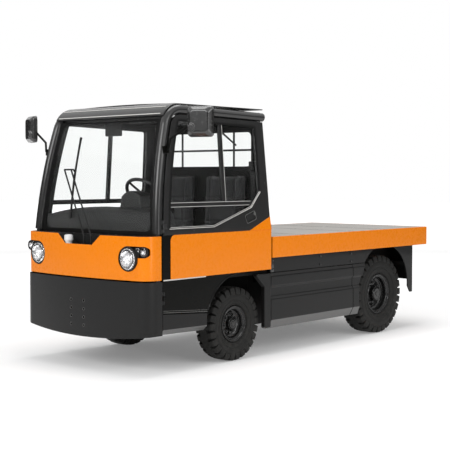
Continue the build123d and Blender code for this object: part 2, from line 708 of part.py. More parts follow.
# Wheels: each tyre has a flat side for each lug, and slots cut its shoulders into lugs.
# Each rim is a deep dish with a flange ring, a hub and a ring of nuts.
# Columns: name, axle place, hub height, middle and width of the tyre, rim seat radius, rim width,
# spacing of the lugs, stub radius, hub radius, reach of the hub, spacing of the nuts
wheel_table = (
    ("front", front_axle_x, front_hub_z, front_tyre_y, front_tyre_width,
     114, 102, 65, front_stub_radius, 44, 50, 85),
    ("rear", rear_axle_x, rear_hub_z, rear_tyre_y, rear_tyre_width,
     152, 127, 75, rear_stub_radius, 62, 62, 74),
)
shoulder_drop = 8
nut_radius = 10
nut_height = 18
lug_depth = 48
lug_share = 0.36
lug_run_share = 0.62
flange_height = 16
lip = 8
dish = 8
for name, axle_x, hub_z, tyre_y, tyre_width, *sizes in wheel_table:
    seat, rim_width, pitch, stub, hub, reach, nut_pitch = sizes
    section = Plane(origin=(axle_x, tyre_y, hub_z), x_dir=(0, 1, 0), z_dir=(1, 0, 0))
    across = Plane(origin=(axle_x, tyre_y, hub_z), x_dir=(1, 0, 0), z_dir=(0, 1, 0))
    axis = Axis((axle_x, tyre_y, hub_z), (0, 1, 0))
    half_tyre = tyre_width / 2
    half_rim = rim_width / 2
    crown = hub_z
    flange = seat + flange_height
    widest = (seat + crown) / 2
    lugs = round(2 * pi * crown / pitch)
    lug_slot = lug_share * 2 * pi * crown / lugs
    shoulder_y = half_tyre - shoulder_drop
    outside = ((-half_tyre, widest), (-shoulder_y, crown), (shoulder_y, crown), (half_tyre, widest))
    with BuildPart() as tyre:
        for ends in zip(outside, outside[1:]):
            loft([many_sided(across.offset(y), radius, lugs) for y, radius in ends], ruled=True)
        for side in (-1, 1):
            dish_ends = ((side * half_rim, flange), (side * half_tyre, widest - shoulder_drop))
            dish_faces = [many_sided(across.offset(y), radius, lugs) for y, radius in dish_ends]
            loft(dish_faces, ruled=True, mode=Mode.SUBTRACT)
        bore = many_sided(across.offset(-half_tyre), seat, lugs)
        extrude(bore, amount=tyre_width, mode=Mode.SUBTRACT)
        for side in (-1, 1):
            with BuildSketch(across.offset(side * half_tyre)):
                half_step = (side + 1) * 90 / lugs
                with PolarLocations(crown - lug_depth / 2 + 6, lugs, start_angle=half_step):
                    Rectangle(lug_depth + 12, lug_slot)
            extrude(amount=-side * half_tyre * lug_run_share, mode=Mode.SUBTRACT)
    save_pair(tyre, f"{name}_tyre")
    with BuildPart() as rim:
        with BuildSketch(section):
            with BuildLine():
                Polyline((-half_rim - lip, flange), (-half_rim, flange), (-half_rim, seat), (half_rim, seat),
                         (half_rim, flange), (half_rim + lip, flange), (half_rim + lip, flange - 6),
                         (half_rim + 4, seat + 2), (half_rim - 8, seat - lip), (20, seat - lip - 6),
                         (dish, seat - 34), (dish, hub + 12), (20, hub), (reach - 6, hub - 4),
                         (reach, hub - 12), (reach, stub + fit), (-30, stub + fit), (-30, hub),
                         (-dish, hub + 12),
                         (-dish, seat - 32), (4, seat - lip - 2), (-half_rim - 4, seat - lip), close=True)
            make_face()
        revolve(axis=axis)
        nut_ring = (hub + seat) / 2 - 12
        nuts = round(2 * pi * nut_ring / nut_pitch)
        with BuildSketch(across.offset(dish - 2)):
            with PolarLocations(nut_ring, nuts, start_angle=90):
                RegularPolygon(nut_radius, 6)
        extrude(amount=nut_height)
    save_pair(rim, f"{name}_rim")

# Cab frame: bent tubes for the pillars and roof rails, on posts from the floor, with two cross tubes
bend_centre = (bend_x, rail_z - bend_radius)
header_radius = 26
header_x = bend_x + 88
header_z = rail_z - 53
rear_tube_x = cab_rear_x + 38
roof_bottom = rail_z + tube_radius
with BuildPart() as cab_frame:
    middle_z = (screen_foot[1] + screen_top[1]) / 2
    hoop_plane = leaning_plane(pillar_inset)
    with BuildLine(hoop_plane) as hoop:
        pillar_z = (pillar_foot_z, middle_z, screen_top[1])
        pillar = ThreePointArc(*((screen_x(z), up(z)) for z in pillar_z))
        rail_end = hoop_plane.from_local_coords(Vector(floor_rear_x, up(rail_rear_z)))
        rail_start = hoop_plane.from_local_coords(Vector(bend_x, up(rail_z)))
        rail_run = (rail_start - rail_end).normalized()
        rise = pillar % 1
        across_rail = rail_run.cross(hoop_plane.z_dir)
        reach = (rail_end - pillar @ 1).dot(across_rail) / rise.dot(across_rail)
        bend = TangentArc(pillar @ 1, pillar @ 1 + (rise - rail_run) * reach, tangent=rise)
        Line(bend @ 1, rail_end)
    with BuildSketch(Plane(origin=hoop.line @ 0, z_dir=hoop.line % 0)):
        Circle(tube_radius)
    sweep(path=hoop.line, transition=Transition.ROUND)
    post_x = screen_x(pillar_foot_z)
    block((post_x - 17, post_x + 19), (half_width - 50, half_width - 16), (floor_top, pillar_foot_z + 20))
    hinge_leaf(hinge_upper_z, (hinge_x, hinge_x + 23), (hinge_y - 12, hinge_y + 2))
    mirror(about=Plane.XZ)
    rail_y = side_y(rail_z, pillar_inset)
    # Columns: place, height, half length, radius
    tube_table = (
        (header_x, header_z, rail_y - tube_radius / 2, header_radius),
        (rear_tube_x, rail_rear_z, side_y(rail_rear_z, pillar_inset), tube_radius),
    )
    for x, z, half, radius in tube_table:
        rod(((x, -half, z), (x, half, z)), radius)
    for share in (-0.5, 0, 0.5):
        block(span(rear_tube_x, 18), span(share * rail_y, 30), (rail_rear_z, roof_bottom))
save(cab_frame, "cab_frame")

# Roof: crowned sheet that rests on the front bends, stands off the rails behind them,
# and turns down over the windscreen
roof_crown = 14
visor_sheet = 11
visor_end = 32
roof_half = rail_y + 8
with BuildPart() as roof_panel:
    visor_inner = roof_bottom - bend_centre[1]
    with BuildSketch(Plane.XZ.offset(-roof_half)):
        with BuildLine():
            Polyline((bend_x, roof_top), (cab_rear_x, roof_top), (cab_rear_x, roof_bottom),
                     (bend_x, roof_bottom))
            low = CenterArc(bend_centre, visor_inner, visor_end, 90 - visor_end)
            high = CenterArc(bend_centre, visor_inner + visor_sheet, visor_end, 90 - visor_end)
            Line(low @ 0, high @ 0)
            Line(high @ 1, (bend_x, roof_top))
        make_face()
    extrude(amount=2 * roof_half)
    with BuildSketch(Plane.YZ.offset(cab_rear_x)):
        edge_z = roof_top - roof_crown
        mask_low = bend_centre[1]
        with BuildLine():
            ThreePointArc((roof_half, edge_z), (0, roof_top), (-roof_half, edge_z))
            Polyline((-roof_half, edge_z), (-roof_half, mask_low), (roof_half, mask_low),
                     (roof_half, edge_z))
        make_face()
    extrude(amount=nose_x - cab_rear_x, mode=Mode.INTERSECT)
save(roof_panel, "roof_panel")

# Windscreen: bowed from top to bottom, between the pillars
glass_thickness = 6
glass_foot = panel_top - 4
glass_top = screen_top[1] + 35
with BuildPart() as windscreen:
    with BuildSketch(Plane.XZ.offset(-half_width)):
        with BuildLine():
            screen_z = (screen_foot[1], middle_z, glass_top)
            screen_points = tuple((screen_x(z), z) for z in screen_z)
            outer_arc = ThreePointArc(*screen_points)
            inner_arc = ThreePointArc(*((x - glass_thickness, z) for x, z in screen_points))
            Line(outer_arc @ 0, inner_arc @ 0)
            Line(outer_arc @ 1, inner_arc @ 1)
        make_face()
    extrude(amount=body_width)
    glass_half = door_face - pillar_inset - tube_radius
    glass_top_half = glass_half - (glass_top - glass_foot) * lean_slope
    with BuildSketch(Plane.YZ.offset(cab_rear_x)):
        with BuildLine():
            Polyline((glass_half, glass_foot), (glass_top_half, glass_top), (-glass_top_half, glass_top),
                     (-glass_half, glass_foot), close=True)
        make_face()
    extrude(amount=nose_x - cab_rear_x, mode=Mode.INTERSECT)
save(windscreen, "windscreen")

# Rear wall with its window, between the doors
wall_x = (cab_rear_x + gap, cab_rear_x + 34)
wall_half = door_face - door_thickness - gap
wall_top = rail_rear_z - tube_radius
window_half = half_width - 160
window_top = roof_top - 168
window_bottom = window_top - 284
window_corner = 40
with BuildPart() as rear_wall:
    with BuildSketch(Plane.YZ.offset(wall_x[0])):
        with BuildLine():
            top_half = wall_half - (wall_top - belt_z) * lean_slope
            Polyline((wall_half, platform_top), (wall_half, belt_z), (top_half, wall_top),
                     (-top_half, wall_top), (-wall_half, belt_z), (-wall_half, platform_top), close=True)
        make_face()
        with Locations((0, (window_bottom + window_top) / 2)):
            RectangleRounded(2 * window_half, window_top - window_bottom, window_corner, mode=Mode.SUBTRACT)
    extrude(amount=wall_x[1] - wall_x[0])
save(rear_wall, "rear_wall")

with BuildPart() as rear_window:
    with BuildSketch(Plane.YZ.offset(wall_x[0] + 10)):
        with Locations((0, (window_bottom + window_top) / 2)):
            RectangleRounded(2 * window_half, window_top - window_bottom, window_corner)
    extrude(amount=glass_thickness)
save(rear_window, "rear_window")

bar_radius = 8
bar_overlap = 32
bar_share = 0.56
with BuildPart() as rear_bars:
    bar_x = wall_x[0] - bar_radius
    bar_z = (window_bottom + window_top) / 2 - 5
    rod(((bar_x, -window_half - bar_overlap, bar_z), (bar_x, window_half + bar_overlap, bar_z)), bar_radius)
    for y in (-bar_share * window_half, bar_share * window_half):
        rod(((bar_x, y, window_bottom - bar_overlap), (bar_x, y, window_top + bar_overlap)), bar_radius)
save(rear_bars, "rear_bars")

# Seats: one each side of a gap in the middle
seat_inner = 50
seat_outer = half_width - 170
seat_y = (seat_inner + seat_outer) / 2
seat_half = (seat_outer - seat_inner) / 2
seat_frame_half = seat_half - 45
seat_frame_top = 790
seat_back_x = cab_rear_x + 158
seat_back_top = 1370
with BuildPart() as seat_frames:
    block((cab_rear_x + 50, cab_rear_x + 600), span(seat_y, seat_frame_half), (platform_top, seat_frame_top))
    mirror(about=Plane.XZ)
save(seat_frames, "seat_frames")

with BuildPart() as seat_cushions:
    cushion_x = (seat_back_x + 2, cab_rear_x + 650)
    block(cushion_x, span(seat_y, seat_half), (seat_frame_top, seat_frame_top + 100))
    fillet(seat_cushions.edges(), 30)
    mirror(about=Plane.XZ)
save(seat_cushions, "seat_cushions")

with BuildPart() as seat_backs:
    with BuildSketch(Plane.XZ.offset(-seat_outer)):
        with BuildLine():
            Polyline((seat_back_x, seat_frame_top), (seat_back_x - 98, seat_frame_top),
                     (seat_back_x - 118, seat_back_top), (seat_back_x - 38, seat_back_top), close=True)
        make_face()
    extrude(amount=2 * seat_half)
    fillet(seat_backs.edges(), 26)
    mirror(about=Plane.XZ)
save(seat_backs, "seat_backs")

# Dashboard with the instrument hood and the steering column, ahead of the left seat
column_tilt = 47
column_y = seat_y
wheel_centre = Vector(nose_x - 450, column_y, 1182)
column_axis = Vector(-sin(radians(column_tilt)), 0, cos(radians(column_tilt)))
column_radius = 34
column_length = 230
spindle_radius = 10
steering_hub_height = 40
dash_half = half_width - 70
dash_top = 1126
dash_low_top = 1052
dash_front_z = 1010
dash_lip_z = 1005
dash_knee_z = 800
dash_bottom = 720
hood_bottom = 1100
hood_length = 95
hood_half = 116
hood_top = 1241
with BuildPart() as dashboard:
    with BuildSketch(Plane.XZ.offset(-dash_half)):
        with BuildLine():
            crest = ThreePointArc((cowl_rear_x, dash_front_z), (cowl_rear_x - 62, dash_top - 10),
                                  (cowl_rear_x - 140, dash_top))
            Polyline(crest @ 1, (cowl_rear_x - 190, dash_top - 40), (cowl_rear_x - 215, dash_lip_z),
                     (cowl_rear_x - 205, dash_knee_z), (cowl_rear_x - 150, dash_bottom),
                     (cowl_rear_x, dash_bottom), crest @ 0)
        make_face()
    extrude(amount=2 * dash_half)
    with BuildSketch(Plane.YZ.offset(cowl_rear_x)):
        with BuildLine():
            slope = ThreePointArc((-dash_half, dash_low_top), (-dash_half / 2, dash_top - 16), (0, dash_top))
            Polyline(slope @ 1, (dash_half, dash_top), (dash_half, dash_bottom), (-dash_half, dash_bottom),
                     slope @ 0)
        make_face()
    extrude(amount=-(cowl_rear_x - cab_rear_x), mode=Mode.INTERSECT)
    with BuildSketch(Plane.YZ.offset(cowl_rear_x - 80)):
        with BuildLine():
            brow = ThreePointArc((column_y - hood_half + 20, hood_top - 40), (column_y, hood_top),
                                 (column_y + hood_half - 20, hood_top - 40))
            Polyline(brow @ 1, (column_y + hood_half, hood_bottom), (column_y - hood_half, hood_bottom),
                     brow @ 0)
        make_face()
    extrude(amount=-hood_length)
    fillet(dashboard.faces().filter_by(Axis.X).sort_by(Axis.Z)[-1].edges().sort_by(Axis.Z)[-3:], 16)
    column_low = wheel_centre - column_axis * column_length
    column_high = wheel_centre - column_axis * (steering_hub_height / 2 + 1)
    column_run = (column_high - column_low).length
    disc(Plane(origin=column_low, z_dir=column_axis), (0, 0), column_radius, column_run)
    disc(Plane(origin=column_high, z_dir=column_axis), (0, 0), spindle_radius, steering_hub_height - 10)
save(dashboard, "dashboard")

steering_radius = 190
steering_rim = 13
steering_hub_radius = 42
spoke_width = 30
spoke_depth = 12
with BuildPart() as steering_wheel:
    rim_plane = Plane(origin=wheel_centre, x_dir=(0, 1, 0), z_dir=column_axis)
    cut_plane = Plane(origin=wheel_centre, x_dir=(0, 1, 0), z_dir=Vector(0, 1, 0).cross(column_axis))
    with BuildSketch(cut_plane):
        with Locations((steering_radius, 0)):
            Circle(steering_rim)
    revolve(axis=Axis(wheel_centre, column_axis))
    hub_plane = rim_plane.offset(-steering_hub_height / 2)
    disc(hub_plane, (0, 0), steering_hub_radius, steering_hub_height)
    with BuildSketch(rim_plane.offset(-spoke_depth / 2)):
        for angle in (0, 120, 240):
            with Locations(Location((0, 0, 0), (0, 0, angle))):
                with Locations((steering_radius / 2, 0)):
                    Rectangle(steering_radius, spoke_width)
    extrude(amount=spoke_depth)
    bore_depth = steering_hub_height - 8
    disc(hub_plane, (0, 0), spindle_radius + fit, bore_depth, mode=Mode.SUBTRACT)
save(steering_wheel, "steering_wheel")

pedal_z = 580
pedal_reach = 116
pedal_rod = 9
pedal_half = 35
pedal_pad_z = (520, 610)
with BuildPart() as pedals:
    for y in (column_y - 75, column_y + 25):
        pedal_x = firewall_rear - pedal_reach
        rod(((firewall_rear, y, pedal_z), (pedal_x, y, pedal_z)), pedal_rod)
        block((pedal_x - 10, pedal_x + 2), span(y, pedal_half), pedal_pad_z)
save(pedals, "pedals")

# Lamps in the nose
housing_plate = 6
housing_reach = 34
with BuildPart() as headlamp_housings:
    extrude(lamp_outline(firewall_front, 2), amount=housing_plate)
    disc(Plane.YZ.offset(firewall_front), (lamp_y, lamp_z), lamp_radius + 4, housing_reach)
    mirror(about=Plane.XZ)
save(headlamp_housings, "headlamp_housings")

with BuildPart() as headlamp_lenses:
    disc(Plane.YZ.offset(firewall_front + housing_reach), (lamp_y, lamp_z), lamp_radius, 14)
    disc(Plane.YZ.offset(firewall_front + housing_plate), (indicator_y, indicator_z), indicator_radius, 12)
    fillet(headlamp_lenses.faces().filter_by(Axis.X).group_by(Axis.X)[-1].edges(), 6)
    mirror(about=Plane.XZ)
save(headlamp_lenses, "headlamp_lenses")

# Wiper: two parallel arms, a link and a blade that follows the glass
wiper_radius = 6
blade_radius = 7
blade_off = 14
link_off = 32
blade_y = -262
arm_feet_y = (13, 87)
arm_shift_y = -374
arm_foot_x = nose_x - 55
with BuildPart() as wiper:
    blade_low = glass_foot + 104
    blade_high = screen_top[1] - 75
    blade_z = (blade_low, (blade_low + blade_high) / 2, blade_high)
    rod(tuple((screen_x(z) + blade_off, blade_y, z) for z in blade_z), blade_radius)
    link_z = blade_low + 0.6 * (blade_high - blade_low)
    link_x = screen_x(link_z) + link_off
    link_end = (link_x, blade_y, link_z)
    rod(((link_x, arm_feet_y[0] + arm_shift_y, link_z), link_end), wiper_radius)
    rod((link_end, (screen_x(link_z) + blade_off, blade_y, link_z - 20)), wiper_radius)
    for foot_y in arm_feet_y:
        foot = (arm_foot_x, foot_y, notch_bottom - well_cover)
        knee = (arm_foot_x, foot_y, cowl_top - 12)
        rod((foot, knee, (link_x, foot_y + arm_shift_y, link_z)), wiper_radius)
save(wiper, "wiper")

# Mirrors on arms clamped to the pillars
mirror_middle = Vector(nose_x - 309, half_width + 238, roof_top - 155)
mirror_yaw = 22
# Columns: level above the middle, width, height, corner
mirror_table = (
    (-20, 185, 205, 24),
    (10, 176, 196, 26),
    (34, 128, 148, 26),
)
with BuildPart() as mirror_heads:
    turn = radians(mirror_yaw)
    facing = Plane(origin=mirror_middle, x_dir=(-sin(turn), cos(turn), 0), z_dir=(cos(turn), sin(turn), 0))
    for level, width, height, corner in mirror_table:
        with BuildSketch(facing.offset(level)):
            RectangleRounded(width, height, corner)
    loft(ruled=True)
    disc(facing, (-52, -40), 24, 44)
    mirror(about=Plane.XZ)
save(mirror_heads, "mirror_heads")

clamp_z = roof_top - 338
clamp_y = side_y(clamp_z, pillar_inset) + 41
with BuildPart() as mirror_arms:
    clamp_x = screen_x(clamp_z) - 2
    arm_top = mirror_middle + Vector(19, -76, -23)
    rod(((clamp_x, clamp_y, clamp_z), (clamp_x, half_width - 2, clamp_z + 10),
         (clamp_x - 6, half_width + 10, clamp_z + 75), tuple(arm_top)), 8)
    block(span(clamp_x, 18), (clamp_y - 18, clamp_y + 12), (clamp_z - 22, clamp_z + 25))
    mirror(about=Plane.XZ)
    add(cab_frame.part, mode=Mode.SUBTRACT)
    add(mirror_heads.part, mode=Mode.SUBTRACT)
save(mirror_arms, "mirror_arms")

# Doors: a leaf bent at the belt line, cut out over the front wheel, with an orange band and framed panes
frame_setback = 41
window_setback = 97
window_top_z = roof_top - 130
window_low_z = belt_z + 45
pane_rail_z = belt_z + 202
pane_stile_x = cab_rear_x + 500
bar_half = 17
window_middle_z = (window_low_z + window_top_z) / 2


def window_outline(inset):
    """Return the door's window opening on the leaning plane, with its lower edge rising to the rear."""
    edge_z = (window_low_z, window_middle_z, window_top_z)
    edge_points = tuple((screen_x(z) - window_setback, up(z)) for z in edge_z)
    with BuildSketch(leaning_plane(inset)) as opening:
        with BuildLine():
            edge = ThreePointArc(*edge_points)
            Polyline(edge @ 1, (cab_rear_x + 120, up(window_top_z - rail_drop)),
                     (cab_rear_x + 108, up(belt_z + 284)), (cab_rear_x + 219, up(belt_z + 172)),
                     (cab_rear_x + 632, up(window_low_z)), edge @ 0)
        make_face()
        fillet(opening.vertices(), 22)
    return opening.sketch


def window_bars(inset):
    """Return the cross rail and the stile of the sliding panes on the leaning plane."""
    stile_low = pane_rail_z + bar_half / 2
    stile_high = window_top_z + 10
    with BuildSketch(leaning_plane(inset)) as bars:
        with Locations((cab_rear_x + 585, up(pane_rail_z))):
            Rectangle(1000, 2 * bar_half)
        with Locations((pane_stile_x, up((stile_low + stile_high) / 2))):
            Rectangle(2 * bar_half, up(stile_high) - up(stile_low))
    return bars.sketch


handle_place = (cab_rear_x + 222, 98)
handle_turn = -17
handle_depth = 12
handle_recess = (112, 64, 14)
handle_paddle = (86, 34, 10)
with BuildPart() as door:
    with BuildSketch(Plane.XZ.offset(-door_face)):
        arch_low = degrees(asin((door_bottom - 30 - arch_z) / arch_radius))
        with BuildLine():
            arch = CenterArc((arch_x, arch_z), arch_radius, arch_low, 90 - arch_low)
            Polyline(arch @ 0, (door_front_x, door_bottom), (door_front_x, belt_z), (cab_rear_x, belt_z),
                     (cab_rear_x, arch_top), arch @ 1)
        make_face()
    extrude(amount=door_thickness)
    frame_top_z = screen_top[1] + 3
    frame_z = (belt_z, (belt_z + frame_top_z) / 2, frame_top_z)
    with BuildSketch(leaning_plane(0)):
        with BuildLine():
            edge = ThreePointArc(*((screen_x(z) - frame_setback, up(z)) for z in frame_z))
            corner = ThreePointArc(edge @ 1, (bend_x + 59, up(door_top_z - 18)), (bend_x, up(door_top_z)))
            Polyline(corner @ 1, (cab_rear_x + 26, up(door_top_z - rail_drop)), (cab_rear_x, up(belt_z)),
                     edge @ 0)
        make_face()
    extrude(amount=door_thickness - 1)
    extrude(window_outline(-seam), amount=door_thickness + 2 * seam, mode=Mode.SUBTRACT)
    extrude(window_bars(4), amount=20)
    with BuildSketch(leaning_plane(0)):
        with Locations(Location((handle_place[0], handle_place[1], 0), (0, 0, handle_turn))):
            RectangleRounded(*handle_recess)
    extrude(amount=handle_depth, mode=Mode.SUBTRACT)
    with BuildSketch(leaning_plane(2)):
        with Locations(Location((handle_place[0], handle_place[1] + 4, 0), (0, 0, handle_turn))):
            RectangleRounded(*handle_paddle)
    extrude(amount=handle_depth)
    # Columns: foot of the hinge, how far back its leaf reaches
    for low, leaf_x in ((hinge_lower_z, hinge_x - 17), (hinge_upper_z, hinge_x - 37)):
        leaf_low = low + hinge_third + hinge_gap
        leaf_height = hinge_length - 2 * (hinge_third + hinge_gap)
        barrel(low, hinge_length, hinge_radius + 4, mode=Mode.SUBTRACT)
        barrel(leaf_low, leaf_height, hinge_radius)
        block((leaf_x, hinge_x), (hinge_y - 14, hinge_y), (leaf_low, leaf_low + leaf_height))
        barrel(leaf_low, leaf_height, hinge_pin_radius + fit, mode=Mode.SUBTRACT)
save_pair(door, "door")

with BuildPart() as door_glass:
    extrude(window_outline(12), amount=5)
    extrude(window_bars(0), amount=door_thickness + seam, mode=Mode.SUBTRACT)
save_pair(door_glass, "door_glass")

# Orange band: flat below the belt line, with a rising corner on the leaning part behind the window
band_front_x = door_front_x - 75
band_rise_x = cab_rear_x + 251
band_rise_z = belt_z + 97
with BuildPart() as door_band:
    with BuildSketch(Plane.XZ.offset(-half_width)) as band:
        with BuildLine():
            Polyline((band_front_x, arch_top), (band_front_x, belt_z), (cab_rear_x, belt_z),
                     (cab_rear_x, arch_top), close=True)
        make_face()
        fillet(band.vertices().group_by(Axis.X)[-1].sort_by(Axis.Z)[-1], 40)
    extrude(amount=band_thickness)
    with BuildSketch(leaning_plane(-band_thickness)):
        with BuildLine():
            Polyline((band_rise_x, -1), (cab_rear_x + 4, up(band_rise_z)), (cab_rear_x, -1), close=True)
        make_face()
    extrude(amount=band_thickness)
save_pair(door_band, "door_band")
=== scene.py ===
"""Looks of an electric platform truck with a two-door cab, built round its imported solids."""

import json
import logging
import math
from dataclasses import dataclass
from enum import Enum
from typing import Callable, Iterable, Sequence

import bmesh
import bpy
from mathutils import Matrix, Vector

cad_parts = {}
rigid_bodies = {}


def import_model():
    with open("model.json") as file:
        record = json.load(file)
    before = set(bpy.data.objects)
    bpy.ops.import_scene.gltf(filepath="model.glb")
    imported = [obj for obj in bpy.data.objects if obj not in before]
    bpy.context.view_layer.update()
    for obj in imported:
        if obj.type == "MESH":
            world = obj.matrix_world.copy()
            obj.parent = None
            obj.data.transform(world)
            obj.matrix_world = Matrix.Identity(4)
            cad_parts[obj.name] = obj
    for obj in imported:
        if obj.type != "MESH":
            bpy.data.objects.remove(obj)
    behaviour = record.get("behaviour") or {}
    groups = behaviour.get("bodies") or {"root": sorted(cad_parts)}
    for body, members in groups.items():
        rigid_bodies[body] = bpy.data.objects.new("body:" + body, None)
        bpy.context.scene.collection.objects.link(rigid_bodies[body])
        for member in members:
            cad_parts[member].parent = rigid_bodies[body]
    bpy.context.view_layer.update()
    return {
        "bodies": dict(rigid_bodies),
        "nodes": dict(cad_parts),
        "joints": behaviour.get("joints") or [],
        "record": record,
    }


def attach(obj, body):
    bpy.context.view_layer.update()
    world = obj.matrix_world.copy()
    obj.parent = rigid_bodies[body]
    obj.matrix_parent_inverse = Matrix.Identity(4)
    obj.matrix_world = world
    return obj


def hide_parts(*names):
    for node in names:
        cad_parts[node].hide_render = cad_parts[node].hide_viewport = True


LOG = logging.getLogger("truck")
Point = Sequence[float]
Flat = tuple[float, float]
Colour = tuple[float, float, float]
Feed = float | bpy.types.NodeSocket


class Slot(Enum):
    """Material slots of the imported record."""

    FRAME = "frame_black"
    GREY = "body_grey"
    ORANGE = "orange"
    PLASTIC = "black_plastic"
    GLASS = "glass"
    LENS = "lens"
    RED = "red_lens"
    DECK = "deck_plate"
    CLOTH = "seat_cloth"
    TYRE = "tyre"
    WHEEL = "wheel_black"


class Side(Enum):
    """The two sides of the truck, as signs of Y."""

    LEFT = 1
    RIGHT = -1

    @property
    def word(self) -> str:
        """Return the side's name as it stands in node names."""
        return self.name.lower()


# Shared shader groups


class Bench:
    """Adds nodes and links to one node tree."""

    def __init__(self, tree: bpy.types.NodeTree) -> None:
        """Keep the tree that the nodes go into."""
        self.tree = tree

    def feed(self, node: bpy.types.Node, sockets: dict) -> None:
        """Set a node's inputs.

        Args:
            node: The node.
            sockets: Values or links by socket name or number.
        """
        for name, value in sockets.items():
            if isinstance(value, bpy.types.NodeSocket):
                self.tree.links.new(value, node.inputs[name])
            else:
                node.inputs[name].default_value = value

    def add(self, kind: str, sockets: dict | None = None, **settings) -> bpy.types.Node:
        """Add a node.

        Args:
            kind: Blender's type name of the node.
            sockets: Input values or links by socket name or number.
            settings: Properties of the node itself.

        Returns:
            The new node.
        """
        node = self.tree.nodes.new(kind)
        for name, value in settings.items():
            setattr(node, name, value)
        self.feed(node, sockets or {})
        return node

    def math(self, operation: str, first: Feed, second: Feed, clamp: bool = False) -> bpy.types.NodeSocket:
        """Return the result of an operation on two values or links."""
        node = self.add("ShaderNodeMath", {0: first, 1: second}, operation=operation, use_clamp=clamp)
        return node.outputs[0]

    def remap(self, value: Feed, low: Feed, high: Feed, to_low: Feed = 0.0, to_high: Feed = 1.0) -> Feed:
        """Return a value moved from one range to another."""
        ends = {"From Min": low, "From Max": high, "To Min": to_low, "To Max": to_high}
        return self.add("ShaderNodeMapRange", {"Value": value, **ends}).outputs["Result"]

    def place(self) -> bpy.types.NodeSocket:
        """Return the place on the object."""
        return self.add("ShaderNodeTexCoord").outputs["Object"]

    def noise(self, place: Feed, scale: Feed, detail: float, rough: float = 0.5) -> bpy.types.NodeSocket:
        """Return a cloudy pattern."""
        sockets = {"Vector": place, "Scale": scale, "Detail": detail, "Roughness": rough}
        return self.add("ShaderNodeTexNoise", sockets).outputs["Fac"]

    def bump(self, height: Feed, distance: float, strength: float) -> bpy.types.NodeSocket:
        """Return the slope of a pattern of heights."""
        sockets = {"Height": height, "Distance": distance, "Strength": strength}
        return self.add("ShaderNodeBump", sockets).outputs["Normal"]


def new_group(name: str, inputs: Iterable[tuple], outputs: Iterable[tuple]) -> bpy.types.NodeTree:
    """Start a shader node group with named sockets.

    Args:
        name: Name of the group.
        inputs: Rows of socket name, socket type and default value.
        outputs: Rows of socket name and socket type.

    Returns:
        The empty group.
    """
    group = bpy.data.node_groups.new(name, "ShaderNodeTree")
    for label, kind, value in inputs:
        group.interface.new_socket(label, in_out="INPUT", socket_type=kind).default_value = value
    for label, kind in outputs:
        group.interface.new_socket(label, in_out="OUTPUT", socket_type=kind)
    return group


def surface_group() -> bpy.types.NodeTree:
    """Return the group that gives paint, plastic, metal and rubber their grain, mottle and road dust.

    Returns:
        The shared group.
    """
    name = "surface_wear"
    if name in bpy.data.node_groups:
        return bpy.data.node_groups[name]
    colour, number = "NodeSocketColor", "NodeSocketFloat"
    inputs = (("Colour", colour, (0.5, 0.5, 0.5, 1.0)), ("Dust Colour", colour, (0.3, 0.29, 0.27, 1.0)),
              ("Mottle", number, 0.05), ("Grain Scale", number, 400.0), ("Dust", number, 0.05),
              ("Dust Top", number, 0.5), ("Rough Low", number, 0.3), ("Rough High", number, 0.4))
    group = new_group(name, inputs, (("Colour", colour), ("Roughness", number), ("Height", number)))
    bench = Bench(group)
    given = bench.add("NodeGroupInput").outputs
    place = bench.place()
    grain = bench.noise(place, given["Grain Scale"], 3.0)
    cloud = bench.noise(place, 7.0, 4.0, 0.6)
    smear = bench.noise(place, 38.0, 5.0, 0.7)
    height = bench.add("ShaderNodeSeparateXYZ", {"Vector": place}).outputs["Z"]
    low = bench.remap(height, 0.0, given["Dust Top"], 1.0, 0.0)
    layer = bench.math("MULTIPLY", low, bench.remap(smear, 0.35, 0.75))
    dust = bench.math("MULTIPLY", layer, given["Dust"])
    tone = bench.math("MULTIPLY", bench.remap(cloud, 0.3, 0.7, -0.5, 0.5), given["Mottle"])
    lift = bench.math("ADD", tone, 1.0)
    shade = bench.add("ShaderNodeHueSaturation", {"Color": given["Colour"], "Value": lift}).outputs["Color"]
    layers = {"Factor": dust, "A": shade, "B": given["Dust Colour"]}
    mixed = bench.add("ShaderNodeMix", layers, data_type="RGBA")
    rough = bench.remap(smear, 0.3, 0.7, given["Rough Low"], given["Rough High"])
    bench.add("NodeGroupOutput", {"Colour": mixed.outputs["Result"], "Roughness": rough, "Height": grain})
    return group


def weave_group() -> bpy.types.NodeTree:
    """Return the group that gives seat cloth its crossing threads.

    Returns:
        The shared group.
    """
    name = "cloth_weave"
    if name in bpy.data.node_groups:
        return bpy.data.node_groups[name]
    number = "NodeSocketFloat"
    group = new_group(name, (("Scale", number, 300.0),), (("Height", number), ("Thread", number)))
    bench = Bench(group)
    given = bench.add("NodeGroupInput").outputs
    place = bench.place()
    threads = {"Vector": place, "Scale": given["Scale"], "Distortion": 0.6}
    runs = [bench.add("ShaderNodeTexWave", threads, bands_direction=axis).outputs["Fac"] for axis in "XYZ"]
    height = bench.math("ADD", bench.math("MULTIPLY", runs[0], runs[1]), runs[2])
    bench.add("NodeGroupOutput", {"Height": height, "Thread": bench.noise(place, 55.0, 4.0)})
    return group


# Finishes


@dataclass(frozen=True)
class Finish:
    """A surface, which becomes a material at its first use."""

    name: str
    colour: Colour

    def material(self) -> bpy.types.Material:
        """Return the finish as a material.

        Returns:
            The material.
        """
        if self.name in bpy.data.materials:
            return bpy.data.materials[self.name]
        made = bpy.data.materials.new(self.name)
        made.use_nodes = True
        self.wire(made, Bench(made.node_tree), made.node_tree.nodes["Principled BSDF"])
        return made

    def wire(self, made: bpy.types.Material, bench: Bench, shader: bpy.types.Node) -> None:
        """Set up the material's nodes, in the way of each kind of finish."""
        raise NotImplementedError


